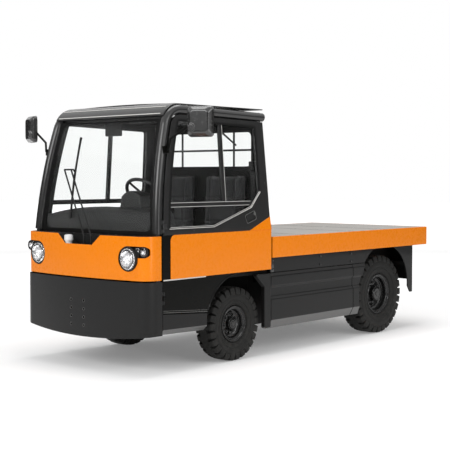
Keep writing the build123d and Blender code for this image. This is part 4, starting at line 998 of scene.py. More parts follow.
@dataclass(frozen=True)
class Wheel:
    """One wheel: lugged tyre, ringed rim, nuts and valve.

    Attributes:
        end: Front or rear.
        side: Side of the truck.
        x: Place of the wheel's middle, with y and z.
        half: Half of the tyre's width.
        crown: Outer radius of the tyre.
        seat: Radius where the tyre sits on the rim.
        half_rim: Half of the rim's width.
        lugs: Lugs on each shoulder.
        hub: Radius of the hub.
        reach: How far out the hub ends.
        pitch: Room for each wheel nut round the rim.
    """

    end: str
    side: Side
    x: float
    y: float
    z: float
    half: float
    crown: float
    seat: float
    half_rim: float
    lugs: int
    hub: float
    reach: float
    pitch: float

    @property
    def body(self) -> str:
        """Return the body that the wheel turns with."""
        return f"{self.end}_wheel_{self.side.word}"

    @property
    def centre(self) -> Vector:
        """Return the wheel's middle."""
        return Vector((self.x, self.y, self.z))

    def tyre(self, shop: Workshop) -> None:
        """Spin the tyre's carcass and set bevelled lugs on both shoulders.

        Args:
            shop: Makes the pieces.
        """
        h, top, flange = self.half, self.crown - 0.0002, self.seat + 0.016
        wide = (self.seat + self.crown) / 2
        right = [(0.36 * h, top), (0.385 * h, top - 0.006), (0.41 * h, top - 0.022), (0.66 * h, top - 0.028),
                 (h - 0.012, top - 0.043), (h - 0.003, top - 0.056), (h, wide + 0.012),
                 (h - 0.0015, wide - 0.004), (h - 0.004, wide - 0.014), (h - 0.001, wide - 0.017),
                 (h - 0.001, wide - 0.021), (h - 0.006, wide - 0.024), (h - 0.014, flange + 0.02),
                 (h - 0.012, flange + 0.016), (h - 0.013, flange + 0.012), (h - 0.021, flange + 0.009),
                 (self.half_rim, flange), (self.half_rim, self.seat)]
        left = [(-along, radius) for along, radius in reversed(right)]
        form = Form()
        form.turned(right + left, self.centre, SIDEWAYS, 4 * self.lugs, True)
        step = math.tau / self.lugs
        share, draft, depth, edge = 0.66, 0.09, 0.05, 0.0035
        width = share * step * self.crown
        lug = [(0.33 * h, top - 0.03), (0.34 * h, top - 0.0012), (0.6 * h, top - 0.0012),
               (h - 0.011, top - 0.004), (h - 0.0055, top - 0.012), (h - 0.0005, top - 0.034),
               (h - 0.001, top - 0.05), (h - 0.012, top - 0.06)]
        for sign, phase in ((1, 0.0), (-1, step / 2)):
            block = Form()
            block.plate([self.centre + Vector((r, sign * a, -width / 2)) for a, r in lug], (0, 0, width))
            for vert in block.bm.verts:
                deep = self.x + top - vert.co.x
                vert.co.z += math.copysign(min(deep, depth) * draft, vert.co.z - self.z)
            block.bevel(block.bm.edges[:], edge)
            turn = Matrix.Rotation(phase, 3, "Y")
            bmesh.ops.rotate(block.bm, cent=self.centre, matrix=turn, verts=block.bm.verts)
            block.round_copies(self.centre, SIDEWAYS, self.lugs)
            bmesh.ops.recalc_face_normals(block.bm, faces=block.bm.faces)
            form.take(block)
        node = f"{self.end}_tyre_{self.side.word}"
        form.to_side(self.side, self.y)
        shop.piece(form, f"{node}_lugged", TREAD, self.body, (node,), 34.0)

    def rim(self, shop: Workshop) -> None:
        """Dress the rim and add its rings, nuts, hub cap and valve.

        Args:
            shop: Makes the pieces.
        """
        node = f"{self.end}_rim_{self.side.word}"
        shop.dress(RIM, node)
        out = (0, self.side.value, 0)
        hub, seat, tip = self.hub, self.seat, self.reach
        form = Form()
        for along, radius, thick in ((self.half_rim + 0.009, seat + 0.011, 0.0045),
                                     (self.half_rim - 0.001, seat - 0.003, 0.004),
                                     (0.024, seat - 0.018, 0.004), (0.012, seat - 0.036, 0.003)):
            form.ring(along, radius, thick, self.centre, out, 8, 96)
        shop.piece(form, f"{node}_rings", GREY_GLOSS, self.body)
        cap = Form()
        cap.turned([(tip - 0.004, hub - 0.006), (tip + 0.003, hub - 0.009), (tip + 0.004, hub - 0.016),
                    (tip + 0.001, hub - 0.018), (tip + 0.001, 0.02), (tip + 0.005, 0.017), (tip + 0.006, 0.0)],
                   self.centre, out, 48)
        valve = self.centre + Vector((0, self.side.value * 0.008, seat - 0.026))
        cap.turned([(-0.002, 0.006), (0.02, 0.006), (0.022, 0.0045), (0.034, 0.0045), (0.036, 0.003),
                    (0.036, 0.0)], valve, out, 14)
        shop.piece(cap, f"{node}_cap", RIM, self.body)
        nuts = Form()
        radius = (hub + seat) / 2 - 0.012
        spot = self.centre + Vector((0, 0, radius))
        nuts.turned([(0.022, 0.013), (0.0262, 0.0115), (0.0275, 0.0075), (0.0275, 0.0055), (0.034, 0.005),
                     (0.0355, 0.003), (0.0355, 0.0)], spot, out, 12)
        nuts.turned([(0.005, 0.017), (0.011, 0.0165), (0.012, 0.0115)], spot, out, 20)
        nuts.round_copies(self.centre, SIDEWAYS, round(math.tau * radius / self.pitch))
        shop.piece(nuts, f"{node}_nuts", GREY_GLOSS, self.body)

    def build(self, shop: Workshop) -> None:
        """Make the whole wheel."""
        self.tyre(shop)
        self.rim(shop)


@dataclass(frozen=True)
class Nose:
    """Bumper, orange panel, lamps, wiper trim, washer cap and the holes for a coupling."""

    lamp: Flat = (0.474, 0.790)
    lamp_radius: float = 0.0835
    flasher: Flat = (0.594, 0.837)
    flasher_radius: float = 0.0365
    wall_x: float = 1.6997
    blade_y: float = -0.262
    blade_foot: float = 1.041
    blade_length: float = 0.584
    spindles: Flat = (0.013, 0.087)
    washer: tuple[float, float, float] = (1.733, -0.143, 0.862)
    bolt_y: float = 0.066
    bolt_rows: tuple[float, ...] = (0.3115, 0.3685, 0.4255, 0.4825)
    bow: float = 3.75

    def lamps(self, shop: Workshop) -> None:
        """Build both headlamps with their buckets, reflectors, bulbs, lenses and flashers.

        Args:
            shop: Makes the pieces.
        """
        y, z = self.lamp
        fy, fz = self.flasher
        wall, r, fr = self.wall_x, self.lamp_radius, self.flasher_radius
        lamp, flasher = (wall, y, z), (wall, fy, fz)
        bucket = Form()
        bucket.turned([(0.0, 0.0), (0.0, r), (0.044, r), (0.046, r - 0.003), (0.046, r - 0.008),
                       (0.004, r - 0.009), (0.004, 0.0)], lamp, FORWARD, 64)
        bucket.turned([(0.0, 0.0), (0.0, fr), (0.016, fr), (0.017, fr - 0.002), (0.017, fr - 0.005),
                       (0.004, fr - 0.006), (0.004, 0.0)], flasher, FORWARD, 40)
        top = z + r - 0.001
        bucket.box((wall, y, fz - fr + 0.001), (wall + 0.006, fy, top), 0.002)
        bucket.swept([(wall + 0.008, y + 0.02, top - 0.002), (wall + 0.008, fy, top - 0.002)], 0.004, 0.008)
        bucket.both_sides()
        shop.piece(bucket, "headlamp_buckets", PLASTIC, replaces=("headlamp_housings",))
        bowl = Form()
        curve = [(0.006 + 0.03 * (k / 6) ** 2, 0.012 + (r - 0.023) * k / 6) for k in range(7)]
        bowl.turned([*curve, (0.041, r - 0.0095), (0.0435, r - 0.0105), (0.0435, r - 0.0125)], lamp, FORWARD,
                    64)
        bowl.turned([(0.005, 0.006), (0.009, 0.016), (0.014, fr - 0.007)], flasher, FORWARD, 9)
        half = Vector((0.003, 0.008, 0.006))
        for k, (across, up) in enumerate(((-0.05, 0.018), (-0.04, -0.004), (-0.068, 0.026), (-0.058, 0.004))):
            turn = Matrix.Rotation(0.5 + 0.8 * k, 3, "X") @ Matrix.Rotation(0.35, 3, "Y")
            spot = Vector((wall + 0.008, fy + across, fz + up))
            bowl.box(spot - half, spot + half, 0.001, turn)
        bowl.turned([(0.012, 0.017), (0.02, 0.0165), (0.027, 0.012), (0.03, 0.0)], lamp, FORWARD, 24)
        shop.piece(bowl.both_sides(), "headlamp_reflectors", CHROME)
        bulb = Form()
        bulb.turned([(0.004, 0.008), (0.012, 0.008), (0.016, 0.006), (0.018, 0.0)], flasher, FORWARD, 16)
        shop.piece(bulb.both_sides(), "flasher_bulbs", CHROME)
        lens = Form()
        glass = [(0.044, r - 0.0115), (0.0468, r - 0.017), (0.0475, 0.03), (0.0478, 0.0)]
        lens.turned([*glass, (0.0458, 0.0), (0.0455, 0.03), (0.0448, r - 0.018), (0.042, r - 0.0115)], lamp,
                    FORWARD, 64)
        lens.turned([(0.0145, fr - 0.006), (0.0172, fr - 0.011), (0.018, 0.0), (0.0165, 0.0),
                     (0.0155, fr - 0.012), (0.013, fr - 0.006)], flasher, FORWARD, 32)
        lens.both_sides()
        shop.piece(lens, "headlamp_glass", LENS, replaces=("headlamp_lenses",))

    def wiper(self, shop: Workshop) -> None:
        """Add the blade's rubber, the spindle nuts and the washer cap in the notch.

        Args:
            shop: Makes the pieces.
        """
        shop.dress(PLASTIC, "wiper", "cowl")
        blade = Form()
        run = [self.blade_foot + self.blade_length * k / 10 for k in range(11)]
        blade.swept([(screen_x(z) + 0.006, self.blade_y, z) for z in run], 0.0025, 0.006, (1, 0, 0.2), 6)
        for y in self.spindles:
            blade.turned([(0.0, 0.016), (0.006, 0.016), (0.008, 0.012), (0.016, 0.011), (0.018, 0.008),
                          (0.018, 0.0)], (1.725, y, 0.862), UPWARD, 20)
        shop.piece(blade, "wiper_rubber", RUBBER)
        cap = Form()
        cap.turned([(0.0, 0.024), (0.02, 0.024), (0.022, 0.027), (0.028, 0.027), (0.03, 0.032),
                    (0.062, 0.031), (0.068, 0.027), (0.071, 0.016), (0.072, 0.0)], self.washer, UPWARD, 32)
        shop.piece(cap, "washer_cap", CAP_WHITE)

    def bolt_places(self, shop: Workshop) -> None:
        """Ring the holes for the front coupling with pale rims, a painted highlight on their edges, and close
        the space behind them.

        Args:
            shop: Makes the pieces.
        """
        rings = Form()
        for y in (-self.bolt_y, self.bolt_y):
            for z in self.bolt_rows:
                spot = (NOSE_X - y * y / (2 * self.bow) - 0.0009, y, z)
                rings.ring(0.0, 0.0102, 0.0014, spot, FORWARD, 6, 20)
        shop.piece(rings, "bolt_hole_rims", TRIM_AND_HIGHLIGHT)
        back = Form()
        back.box((1.700, -0.22, 0.25), (1.706, 0.22, 0.56), 0.001)
        shop.piece(back, "coupling_backing", CHASSIS)

    def build(self, shop: Workshop) -> None:
        """Make the whole nose.

        Args:
            shop: Makes the pieces.
        """
        shop.softened("front_bumper", GREY_SATIN, 0.0025)
        shop.softened("front_panel", ORANGE, 0.0022)
        self.lamps(shop)
        self.wiper(shop)
        self.bolt_places(shop)


@dataclass(frozen=True)
class CabShell:
    """Tubular cab, roof, fixed glass with its rubber, mirrors and rear window."""

    border: float = 0.034
    top_border: float = 0.012
    foot_border: float = 0.028
    screen_rows: tuple[float, ...] = (0.940, 1.1, 1.25, 1.4, 1.55, 1.65, 1.733)
    roof_bend: tuple[float, float, float] = (1.336, 1.657, 0.1915)
    rear_half: float = 0.492
    rear_rows: Flat = (1.404, 1.692)
    rear_wiper_x: float = 0.4405
    mirror: tuple[float, float, float] = (1.471, 0.888, 1.703)
    mirror_yaw: float = 22.0
    mirror_half: Flat = (0.083, 0.093)

    def windscreen(self, shop: Workshop) -> None:
        """Fit the black rubber border round the windscreen.

        Args:
            shop: Makes the pieces.
        """
        shop.dress(GLASS, "windscreen", "rear_window")
        foot, *_, top = self.screen_rows
        halves = [(0.590 - (z - 0.937) * LEAN, z) for z in self.screen_rows]
        outer = [*halves, *((-y, z) for y, z in reversed(halves))]
        side, low, high = self.border, foot + self.foot_border, top - self.top_border
        inner = [(math.copysign(abs(y) - side, y), min(max(z, low), high)) for y, z in outer]
        form = Form()
        loops = [[(screen_x(z) + 0.001, y, z) for y, z in rounded(loop, bend)] for loop, bend in
                 ((outer, 0.004), (inner, 0.048))]
        form.band(loops[0], loops[1], 0.006)
        shop.piece(form, "windscreen_rubber", RUBBER)

    def roof(self, shop: Workshop) -> None:
        """Round the roof's edges and add pale beads across the front bend as painted highlight lines, the
        seals over the doors and the sun visors.

        Args:
            shop: Makes the pieces.
        """
        shop.softened("roof_panel", GREY_GLOSS, 0.007, segments=4)
        shop.dress(GREY_GLOSS, "cab_frame", "rear_bars")
        # Two pale beads across the roof's front bend stand for painted highlight lines.
        beads = Form()
        bend_x, bend_z, bend = self.roof_bend
        for angle, reach in ((36.0, 0.535), (58.0, 0.54)):
            x = bend_x + bend * math.cos(math.radians(angle))
            z = bend_z + bend * math.sin(math.radians(angle))
            beads.swept([(x, -reach, z), (x, 0.0, z), (x, reach, z)], 0.004, 0.003)
        shop.piece(beads, "roof_gutters", SILVER_AND_HIGHLIGHT)
        seals = Form()
        seals.box((0.48, 0.532, 1.735), (1.33, 0.542, 1.795), 0.002)
        shop.piece(seals.both_sides(), "door_top_seals", RUBBER)
        lining = Form()
        lining.box((1.36, -0.53, 1.792), (1.44, 0.53, 1.812), 0.006)
        lining.box((1.326, -0.192, 1.634), (1.342, -0.019, 1.792), 0.007)
        lining.box((1.326, 0.06, 1.72), (1.342, 0.30, 1.792), 0.007)
        shop.piece(lining, "sun_visors", PLASTIC)

    def rear(self, shop: Workshop) -> None:
        """Finish the rear wall with its window rubber, the rear wiper and the belt reels.

        Args:
            shop: Makes the pieces.
        """
        shop.softened("rear_wall", DOOR_BLACK, 0.002)
        half, (foot, top) = self.rear_half, self.rear_rows
        frame = [(-half, foot), (half, foot), (half, top), (-half, top)]
        form = Form()
        for x in (0.445, 0.476):
            loops = [[(x, y, z) for y, z in rounded(inset(frame, depth), 0.045, 8)]
                     for depth in (-0.012, 0.014)]
            form.band(loops[0], loops[1], 0.006)
        shop.piece(form, "rear_window_rubber", RUBBER)
        arm = Form()
        x = self.rear_wiper_x
        arm.swept([(x, 0.05, 1.705), (x, 0.163, 1.679), (x, 0.235, 1.628)], 0.004, 0.005)
        arm.swept([(x, 0.122, 1.70), (x, 0.3, 1.58)], 0.003, 0.007)
        arm.box((0.474, 0.0, 1.69), (0.5, 0.12, 1.735), 0.008)
        for side in (-1, 1):
            reel = side * 0.505
            arm.box((0.476, reel - 0.024, 1.375), (0.51, reel + 0.024, 1.455), 0.006)
            arm.swept([(0.49, reel, 1.38), (0.5, side * 0.52, 1.2), (0.52, side * 0.535, 0.9)], 0.0015, 0.022,
                      SIDEWAYS, 6)
        shop.piece(arm, "rear_wiper_and_belts", PLASTIC)

    def mirrors(self, shop: Workshop) -> None:
        """Round the mirror heads and fit their glass.

        Args:
            shop: Makes the pieces.
        """
        shop.softened("mirror_heads", SHELL, 0.007, angle=22.0, segments=4)
        shop.dress(DOOR_BLACK, "mirror_arms")
        turn = math.radians(self.mirror_yaw)
        way = Vector((math.cos(turn), math.sin(turn), 0.0))
        across = Vector((-math.sin(turn), math.cos(turn), 0.0))
        middle = Vector(self.mirror) - way * 0.0195
        wide, tall = self.mirror_half
        shape = rounded([(-wide, -tall), (wide, -tall), (wide, tall), (-wide, tall)], 0.022, 6)
        form = Form()
        form.plate([middle + across * a + Vector((0, 0, b)) for a, b in shape], -way * 0.0025, 0.0008)
        shop.piece(form.both_sides(), "mirror_glass", CHROME)

    def build(self, shop: Workshop) -> None:
        """Make the whole shell.

        Args:
            shop: Makes the pieces.
        """
        self.windscreen(shop)
        self.roof(shop)
        self.rear(shop)
        self.mirrors(shop)


@dataclass(frozen=True)
class Door:
    """One side door: leaf in two paints, orange band, window rubber, trims and lock."""

    side: Side
    arch: tuple[float, float, float] = (0.797, 0.285, 0.362)
    handle: Flat = (0.662, 1.0437)
    handle_half: Flat = (0.056, 0.032)
    handle_turn: float = 17.0
    sash_x: float = 0.9235

    @property
    def body(self) -> str:
        """Return the body that the door swings with."""
        return f"door_{self.side.word}"

    def window(self) -> list[Flat]:
        """Return the window opening's corners in X and Z."""
        edge = [(screen_x(z) - 0.097, z) for z in (0.991, 1.17, 1.36, 1.55, 1.728)]
        return [*edge, (0.560, 1.708), (0.548, 1.230), (0.659, 1.118), (1.072, 0.991)]

    def leaf(self, shop: Workshop) -> None:
        """Round the leaf's edges, grey above the belt line and black below it.

        Args:
            shop: Makes the pieces.
        """
        word = self.side.word
        made = shop.softened(f"door_{word}", DOOR_BLACK, 0.0022, self.body)
        shop.second(made, GREY_GLOSS, lambda face: face.center.z > BELT - 0.002)
        shop.softened(f"door_band_{word}", ORANGE, 0.0016, self.body)
        shop.dress(GLASS, f"door_glass_{word}")

    def rubber(self, shop: Workshop) -> None:
        """Fit the rubber round the window.

        Args:
            shop: Makes the pieces.
        """
        corners = self.window()
        form = Form()
        loops = [[(x, side_y(z, -0.0012), z) for x, z in rounded(inset(corners, depth), bend)]
                 for depth, bend in ((-0.009, 0.028), (0.007, 0.02))]
        form.band(loops[0], loops[1], 0.004)
        shop.piece(form.to_side(self.side), f"window_rubber_{self.side.word}", RUBBER, self.body)

    def trim(self, shop: Workshop) -> None:
        """Add the painted highlight line along the band's lower edge, the window's bright metal strips, the
        hems, the handle recess's pale outline as a painted highlight, the arch lip and the lock barrel.

        Args:
            shop: Makes the pieces.
        """
        line = Form()
        # A pale bead along the orange band's lower edge is a painted highlight; the lines after it are the
        # window's metal strips.
        line.swept([(1.16, 0.6475, 0.6435), (1.38, 0.6475, 0.6435), (1.577, 0.6475, 0.6435)], 0.003, 0.0045)
        for depth, half in ((-0.004, 0.0022), (0.006, 0.0014)):
            edge = inset(self.window(), depth)
            foot, bend = Vector(edge[8]), Vector(edge[7])
            run = [edge[0], foot, (foot + bend) / 2, bend, edge[6]]
            line.swept([(x, side_y(z, -0.004), z) for x, z in run], half, half)
        for level, rear in ((1.134, 0.67), (1.162, 0.655)):
            ends = (rear, 0.95, screen_x(level) - 0.105)
            line.swept([(x, side_y(level, 0.0032), level) for x in ends], 0.0012, 0.0014)
        line.swept([(self.sash_x, side_y(z, 0.0032), z) for z in (1.165, 1.4, 1.71)], 0.0012, 0.0014)
        shop.piece(line.to_side(self.side), f"door_lines_{self.side.word}", SILVER_AND_HIGHLIGHT, self.body)
        hem = Form()
        for rise, half in ((0.0015, 0.0022), (0.014, 0.0014)):
            ends = ((1.142, 0.394 + rise), (1.36, 0.409 + rise), (1.577, 0.424 + rise))
            hem.swept([(px, 0.6465, pz) for px, pz in ends], 0.0015, half)
        # Pale band round the handle recess: painted highlight on its lip.
        turn = math.radians(self.handle_turn)
        wide, tall = Vector((math.cos(turn), -math.sin(turn))), Vector((math.sin(turn), math.cos(turn)))
        middle = Vector(self.handle)
        a, b = self.handle_half
        frame = [middle + wide * s * a + tall * t * b for s, t in ((-1, -1), (1, -1), (1, 1), (-1, 1))]
        loops = [[(px, side_y(pz, -0.001), pz) for px, pz in rounded(inset(frame, depth), 0.016)]
                 for depth in (-0.0025, 0.0015)]
        hem.band(loops[0], loops[1], 0.003)
        shop.piece(hem.to_side(self.side), f"door_hems_{self.side.word}", TRIM_AND_HIGHLIGHT, self.body)
        lip = Form()
        x, z, r = self.arch
        path = [(x + (r - 0.005) * math.cos(a), 0.634, z + (r - 0.005) * math.sin(a))
                for a in (math.radians(20 + 70 * k / 18) for k in range(19))]
        lip.swept(path, 0.016, 0.005, UPWARD, 10)
        shop.piece(lip.to_side(self.side), f"arch_lip_{self.side.word}", GREY_SATIN, self.body)
        lock = Form()
        spot = Vector((0.618, side_y(1.068, 0.003), 1.068))
        lock.turned([(0.0, 0.011), (0.005, 0.011), (0.0062, 0.009), (0.0062, 0.0035), (0.0045, 0.003),
                     (0.0045, 0.0)], spot, (0, 1, LEAN), 24)
        shop.piece(lock.to_side(self.side), f"door_lock_{self.side.word}", TRIM_AND_HIGHLIGHT, self.body)

    def build(self, shop: Workshop) -> None:
        """Make the whole door.

        Args:
            shop: Makes the pieces.
        """
        self.leaf(shop)
        self.rubber(shop)
        self.trim(shop)


@dataclass(frozen=True)
class Deck:
    """Orange rim, coated plates and their screws."""

    seams: tuple[float, ...] = (0.0196, -0.6492, -1.1156)
    front: float = 0.407
    rear: float = -1.767
    top: float = 0.890

    def screws(self, shop: Workshop) -> None:
        """Set countersunk screws along the plates' edges.

        Args:
            shop: Makes the pieces.
        """
        form = Form()
        form.turned([(0.0, 0.0095), (0.0011, 0.009), (0.0013, 0.004), (0.0004, 0.0035), (0.0004, 0.0)],
                    (0.0, 0.0, self.top), UPWARD, 16)
        base = form.all()
        rows = [self.front - 0.03, self.rear + 0.03]
        rows += [seam + shift for seam in self.seams for shift in (-0.028, 0.028)]
        places = [(x, y) for x in rows for y in (-0.58, -0.29, 0.0, 0.29, 0.58)]
        for x, y in places[1:]:
            copy = bmesh.ops.duplicate(form.bm, geom=base)["geom"]
            bmesh.ops.translate(form.bm, verts=verts_of(copy), vec=(x, y, 0.0))
        bmesh.ops.translate(form.bm, verts=verts_of(base), vec=(*places[0], 0.0))
        shop.piece(form, "deck_screws", STEEL)

    def strips(self, shop: Workshop) -> None:
        """Lay dark strips in the plates' seams as painted shadow of the seam gaps.

        Args:
            shop: Makes the pieces.
        """
        form = Form()
        # Black strips over the seams paint the shadow in the gaps between plates.
        for x in self.seams:
            form.box((x - 0.005, -0.637, self.top - 0.003), (x + 0.005, 0.637, self.top + 0.0006), 0.0004)
        shop.piece(form, "deck_seam_strips", RUBBER)

    def build(self, shop: Workshop) -> None:
        """Make the whole deck.

        Args:
            shop: Makes the pieces.
        """
        shop.softened("deck_rails", ORANGE, 0.0028)
        shop.softened("deck_plates", DECK, 0.0018)
        shop.dress(CHASSIS, "deck_bearers")
        self.strips(shop)
        self.screws(shop)


@dataclass(frozen=True)
class Flanks:
    """Skirts, sills, guards and the panels under the deck."""

    def fixings(self, shop: Workshop) -> None:
        """Add the seam cover and the bolts of the set-back panels.

        Args:
            shop: Makes the pieces.
        """
        form = Form()
        form.box((0.392, 0.6295, 0.622), (0.428, 0.6335, 0.73), 0.0012)
        for x in (0.402, -0.2, -0.62):
            for z in (0.645, 0.71):
                form.turned([(0.0, 0.009), (0.004, 0.009), (0.0055, 0.007), (0.006, 0.0)], (x, 0.6315, z),
                            SIDEWAYS, 16)
        shop.piece(form.both_sides(), "side_panel_bolts", GREY_GLOSS)

    def build(self, shop: Workshop) -> None:
        """Make both flanks.

        Args:
            shop: Makes the pieces.
        """
        for node, width in (("side_skirts", 0.005), ("side_sills", 0.004), ("rear_guards", 0.003),
                            ("upper_side_panels", 0.0015)):
            made = shop.softened(node, GREY_SATIN, width, angle=14.0)
            # Downward-facing faces low on the flanks get the lighter grey as painted light from the floor.
            shop.second(made, GREY_FLOOR_LIT_EDGE, lambda face: face.center.z < 0.32 and face.normal.z < -0.2)
        self.fixings(shop)


@dataclass(frozen=True)
class Tail:
    """Rear panel, lamp clusters and tow coupling."""

    def lamps(self, shop: Workshop) -> None:
        """Build the lamp clusters of a base and two ribbed lenses.

        Args:
            shop: Makes the pieces.
        """
        base = Form()
        base.box((-1.554, 0.47, 0.56), (-1.541, 0.61, 0.64), 0.004)
        shop.piece(base.both_sides(), "tail_lamp_bases", PLASTIC, replaces=("tail_lamps",))
        for name, low, high, finish in (("stop", 0.522, 0.606, RED), ("turn", 0.474, 0.518, AMBER)):
            lens = Form()
            lens.box((-1.565, low, 0.565), (-1.551, high, 0.635), 0.005, segments=3)
            count = round((high - low) / 0.009)
            for k in range(1, count):
                y = low + (high - low) * k / count
                lens.box((-1.5655, y - 0.001, 0.571), (-1.5635, y + 0.001, 0.629), 0.0004)
            shop.piece(lens.both_sides(), f"{name}_lamp_lenses", finish)

    def build(self, shop: Workshop) -> None:
        """Make the whole tail.

        Args:
            shop: Makes the pieces.
        """
        shop.softened("rear_panel", GREY_SATIN, 0.002)
        shop.softened("tow_coupling", CHASSIS, 0.003)
        self.lamps(shop)


@dataclass(frozen=True)
class Seat:
    """One padded seat: cushion and back.

    Attributes:
        side: Side of the truck.
        inner: Place of its inner edge in Y.
        outer: Place of its outer edge.
        swell: How much smaller the stuffed shell starts, and the furthest that a point may swell.
        voxel: Mesh size of the shell.
        frames: Steps that the swelling takes.
        groove: Half of a sewn channel's width.
    """

    side: Side
    inner: float = 0.050
    outer: float = 0.480
    swell: float = 0.014
    voxel: float = 0.006
    frames: int = 20
    groove: float = 0.012

    def pad(self, shop: Workshop, name: str, outline: Sequence[Flat],
            grooves: Sequence[tuple[str, float]]) -> bpy.types.Object:
        """Make one pad by swelling a stuffed shell.

        Args:
            shop: Makes the piece.
            name: Name of the piece.
            outline: Side view in X and Z.
            grooves: Axis and place of each sewn channel.

        Returns:
            The pad.
        """
        form = Form()
        corners = inset(outline, self.swell)
        low, high = self.inner + self.swell, self.outer - self.swell
        form.plate([(x, low, z) for x, z in corners], (0, high - low, 0), 0.026, 4)
        made = shop.piece(form.to_side(self.side), name, SEAT)
        bpy.context.view_layer.objects.active = made
        remesh = made.modifiers.new("even_mesh", "REMESH")
        remesh.mode = "VOXEL"
        remesh.voxel_size = self.voxel
        remesh.use_smooth_shade = True
        self.bake(made)
        rest = [v.co.copy() for v in made.data.vertices]
        cloth = made.modifiers.new("stuffing", "CLOTH")
        cloth.settings.use_pressure = True
        cloth.settings.uniform_pressure_force = 4.0
        cloth.settings.effector_weights.gravity = 0.0
        cloth.settings.quality = 4
        cloth.point_cache.frame_start = 1
        cloth.point_cache.frame_end = self.frames
        scene = bpy.context.scene
        for step in range(1, self.frames + 1):
            scene.frame_set(step)
        self.bake(made)
        scene.frame_set(1)
        for vert, start in zip(made.data.vertices, rest):
            way = vert.co - start
            if way.length > self.swell:
                vert.co = start + way.normalized() * self.swell
            for axis, place in grooves:
                along = getattr(vert.co, axis)
                away = abs((abs(along) if axis == "y" else along) - place)
                if away < self.groove:
                    vert.co += (start - vert.co) * 0.9 * (1.0 - away / self.groove)
        made.data.shade_smooth()
        extra = made.modifiers.new("smooth_cover", "SUBSURF")
        extra.levels = extra.render_levels = 1
        return made

    def bake(self, made: bpy.types.Object) -> None:
        """Turn a pad's modifiers into its mesh.

        Args:
            made: The pad.
        """
        graph = bpy.context.evaluated_depsgraph_get()
        mesh = bpy.data.meshes.new_from_object(made.evaluated_get(graph), preserve_all_data_layers=False,
                                               depsgraph=graph)
        made.modifiers.clear()
        old = made.data
        made.data = mesh
        mesh.materials.clear()
        mesh.materials.append(SEAT.material())
        bpy.data.meshes.remove(old)

    def build(self, shop: Workshop) -> list[bpy.types.Object]:
        """Make cushion and back, and return them.

        Args:
            shop: Makes the pieces.

        Returns:
            Cushion and back.
        """
        word = self.side.word
        seams = (("y", 0.14), ("y", 0.39))
        cushion = self.pad(shop, f"seat_cushion_{word}",
                           [(0.602, 0.792), (1.088, 0.792), (1.088, 0.888), (0.602, 0.888)],
                           (("x", 0.76), ("x", 0.92), *seams))
        back = self.pad(shop, f"seat_back_{word}",
                        [(0.502, 0.795), (0.598, 0.795), (0.560, 1.368), (0.482, 1.368)],
                        (("z", 1.0), ("z", 1.18), *seams))
        return [cushion, back]


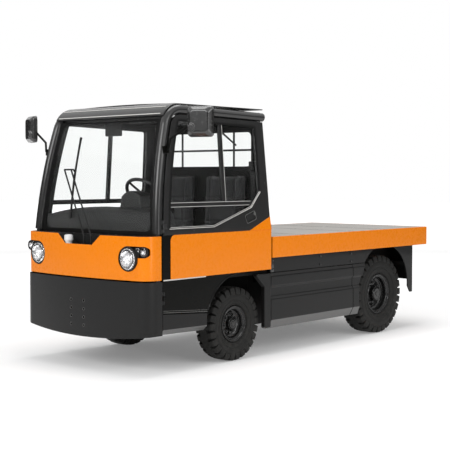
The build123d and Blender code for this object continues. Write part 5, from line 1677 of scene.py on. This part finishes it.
@dataclass(frozen=True)
class Interior:
    """Dashboard, steering wheel, seats, pedals and mat."""

    wheel: tuple[float, float, float] = (1.330, 0.265, 1.182)
    wheel_axis: tuple[float, float, float] = (-0.731354, 0.0, 0.681998)
    wheel_radius: float = 0.190
    grip: float = 0.0125

    def steering(self, shop: Workshop) -> None:
        """Build the steering wheel with its grip, spokes and hub pad.

        Args:
            shop: Makes the pieces.
        """
        centre, axis = Vector(self.wheel), Vector(self.wheel_axis)
        form = Form()
        form.ring(0.0, self.wheel_radius, self.grip, centre, axis, 12, 72)
        form.turned([(-0.02, 0.0), (-0.02, 0.03), (-0.012, 0.042), (0.008, 0.042), (0.016, 0.036),
                     (0.019, 0.02), (0.0198, 0.0)], centre, axis, 40)
        out = Vector(SIDEWAYS)
        places = ((0.03, 0.0), (0.09, -0.004), (0.15, -0.003), (0.186, 0.0))
        spoke = Form()
        spoke.swept([centre + out * a + axis * b for a, b in places], 0.004, 0.015, out.cross(axis), 10)
        form.take(spoke.round_copies(centre, axis, 3))
        shop.piece(form, "steering_wheel_grip", PLASTIC, "steering_wheel", ("steering_wheel",))

    def dash(self, shop: Workshop) -> None:
        """Round the dashboard and add gauges, switches and vents.

        Args:
            shop: Makes the pieces.
        """
        shop.softened("dashboard", PLASTIC, 0.006, angle=20.0, segments=3)
        panel = Form()
        panel.box((1.4235, 0.175, 1.128), (1.4265, 0.355, 1.2), 0.001)
        for y in (0.215, 0.265, 0.315):
            panel.turned([(0.0, 0.021), (0.006, 0.021), (0.0065, 0.018), (0.003, 0.0165), (0.003, 0.0)],
                         (1.424, y, 1.165), (-1, 0, 0), 28)
        for k in range(5):
            panel.box((1.3855, -0.26 + 0.05 * k, 1.02), (1.392, -0.225 + 0.05 * k, 1.05), 0.002)
        for y in (-0.46, -0.34):
            for k in range(4):
                panel.box((1.384, y - 0.04, 1.0 + 0.012 * k), (1.392, y + 0.04, 1.006 + 0.012 * k), 0.001)
        shop.piece(panel, "dash_fittings", GREY_GLOSS)

    def floor(self, shop: Workshop) -> None:
        """Lay the ribbed mat and dress the pedals.

        Args:
            shop: Makes the pieces.
        """
        shop.dress(RUBBER, "cab_floor", "seat_frames")
        shop.softened("pedals", RUBBER, 0.002)
        form = Form()
        form.box((1.2, -0.56, 0.424), (1.56, 0.56, 0.428), 0.001)
        for k in range(26):
            y = -0.54 + 1.08 * k / 25
            form.box((1.21, y - 0.006, 0.427), (1.55, y + 0.006, 0.4305), 0.001)
        shop.piece(form, "ribbed_mat", RUBBER)

    def build(self, shop: Workshop) -> None:
        """Make the whole inside.

        Args:
            shop: Makes the pieces.
        """
        self.steering(shop)
        self.dash(shop)
        self.floor(shop)
        pads = [pad for side in Side for pad in Seat(side).build(shop)]
        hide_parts("seat_cushions")
        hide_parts("seat_cushions")
        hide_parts("seat_backs")
        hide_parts("seat_backs")


@dataclass(frozen=True)
class Running:
    """Chassis, axles, springs, steering links and the battery."""

    def build(self, shop: Workshop) -> None:
        """Dress what shows from below."""
        shop.dress(CHASSIS, "chassis_frame", "front_axle", "front_springs", "rear_axle", "rear_springs",
                   "knuckle_left", "knuckle_right", "tie_rod", "battery")


# End, X, Y on the left, Z, and the sizes of each axle's wheels in the order of Wheel's fields
AXLES = (
    ("front", 0.810, 0.540, 0.270, 0.080, 0.270, 0.114, 0.051, 26, 0.044, 0.050, 0.085),
    ("rear", -1.068, 0.525, 0.335, 0.095, 0.335, 0.152, 0.0635, 28, 0.062, 0.062, 0.074),
)


def main() -> None:
    """Build every sub-assembly in order."""
    logging.basicConfig(level=logging.INFO, format="%(name)s: %(message)s")
    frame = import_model()
    shop = Workshop(frame)
    Studio().build()
    Nose().build(shop)
    CabShell().build(shop)
    for side in Side:
        Door(side).build(shop)
        for end, x, y, *sizes in AXLES:
            Wheel(end, side, x, y * side.value, *sizes).build(shop)
    Deck().build(shop)
    Flanks().build(shop)
    Tail().build(shop)
    Interior().build(shop)
    Running().build(shop)


if __name__ == "__main__":
    main()
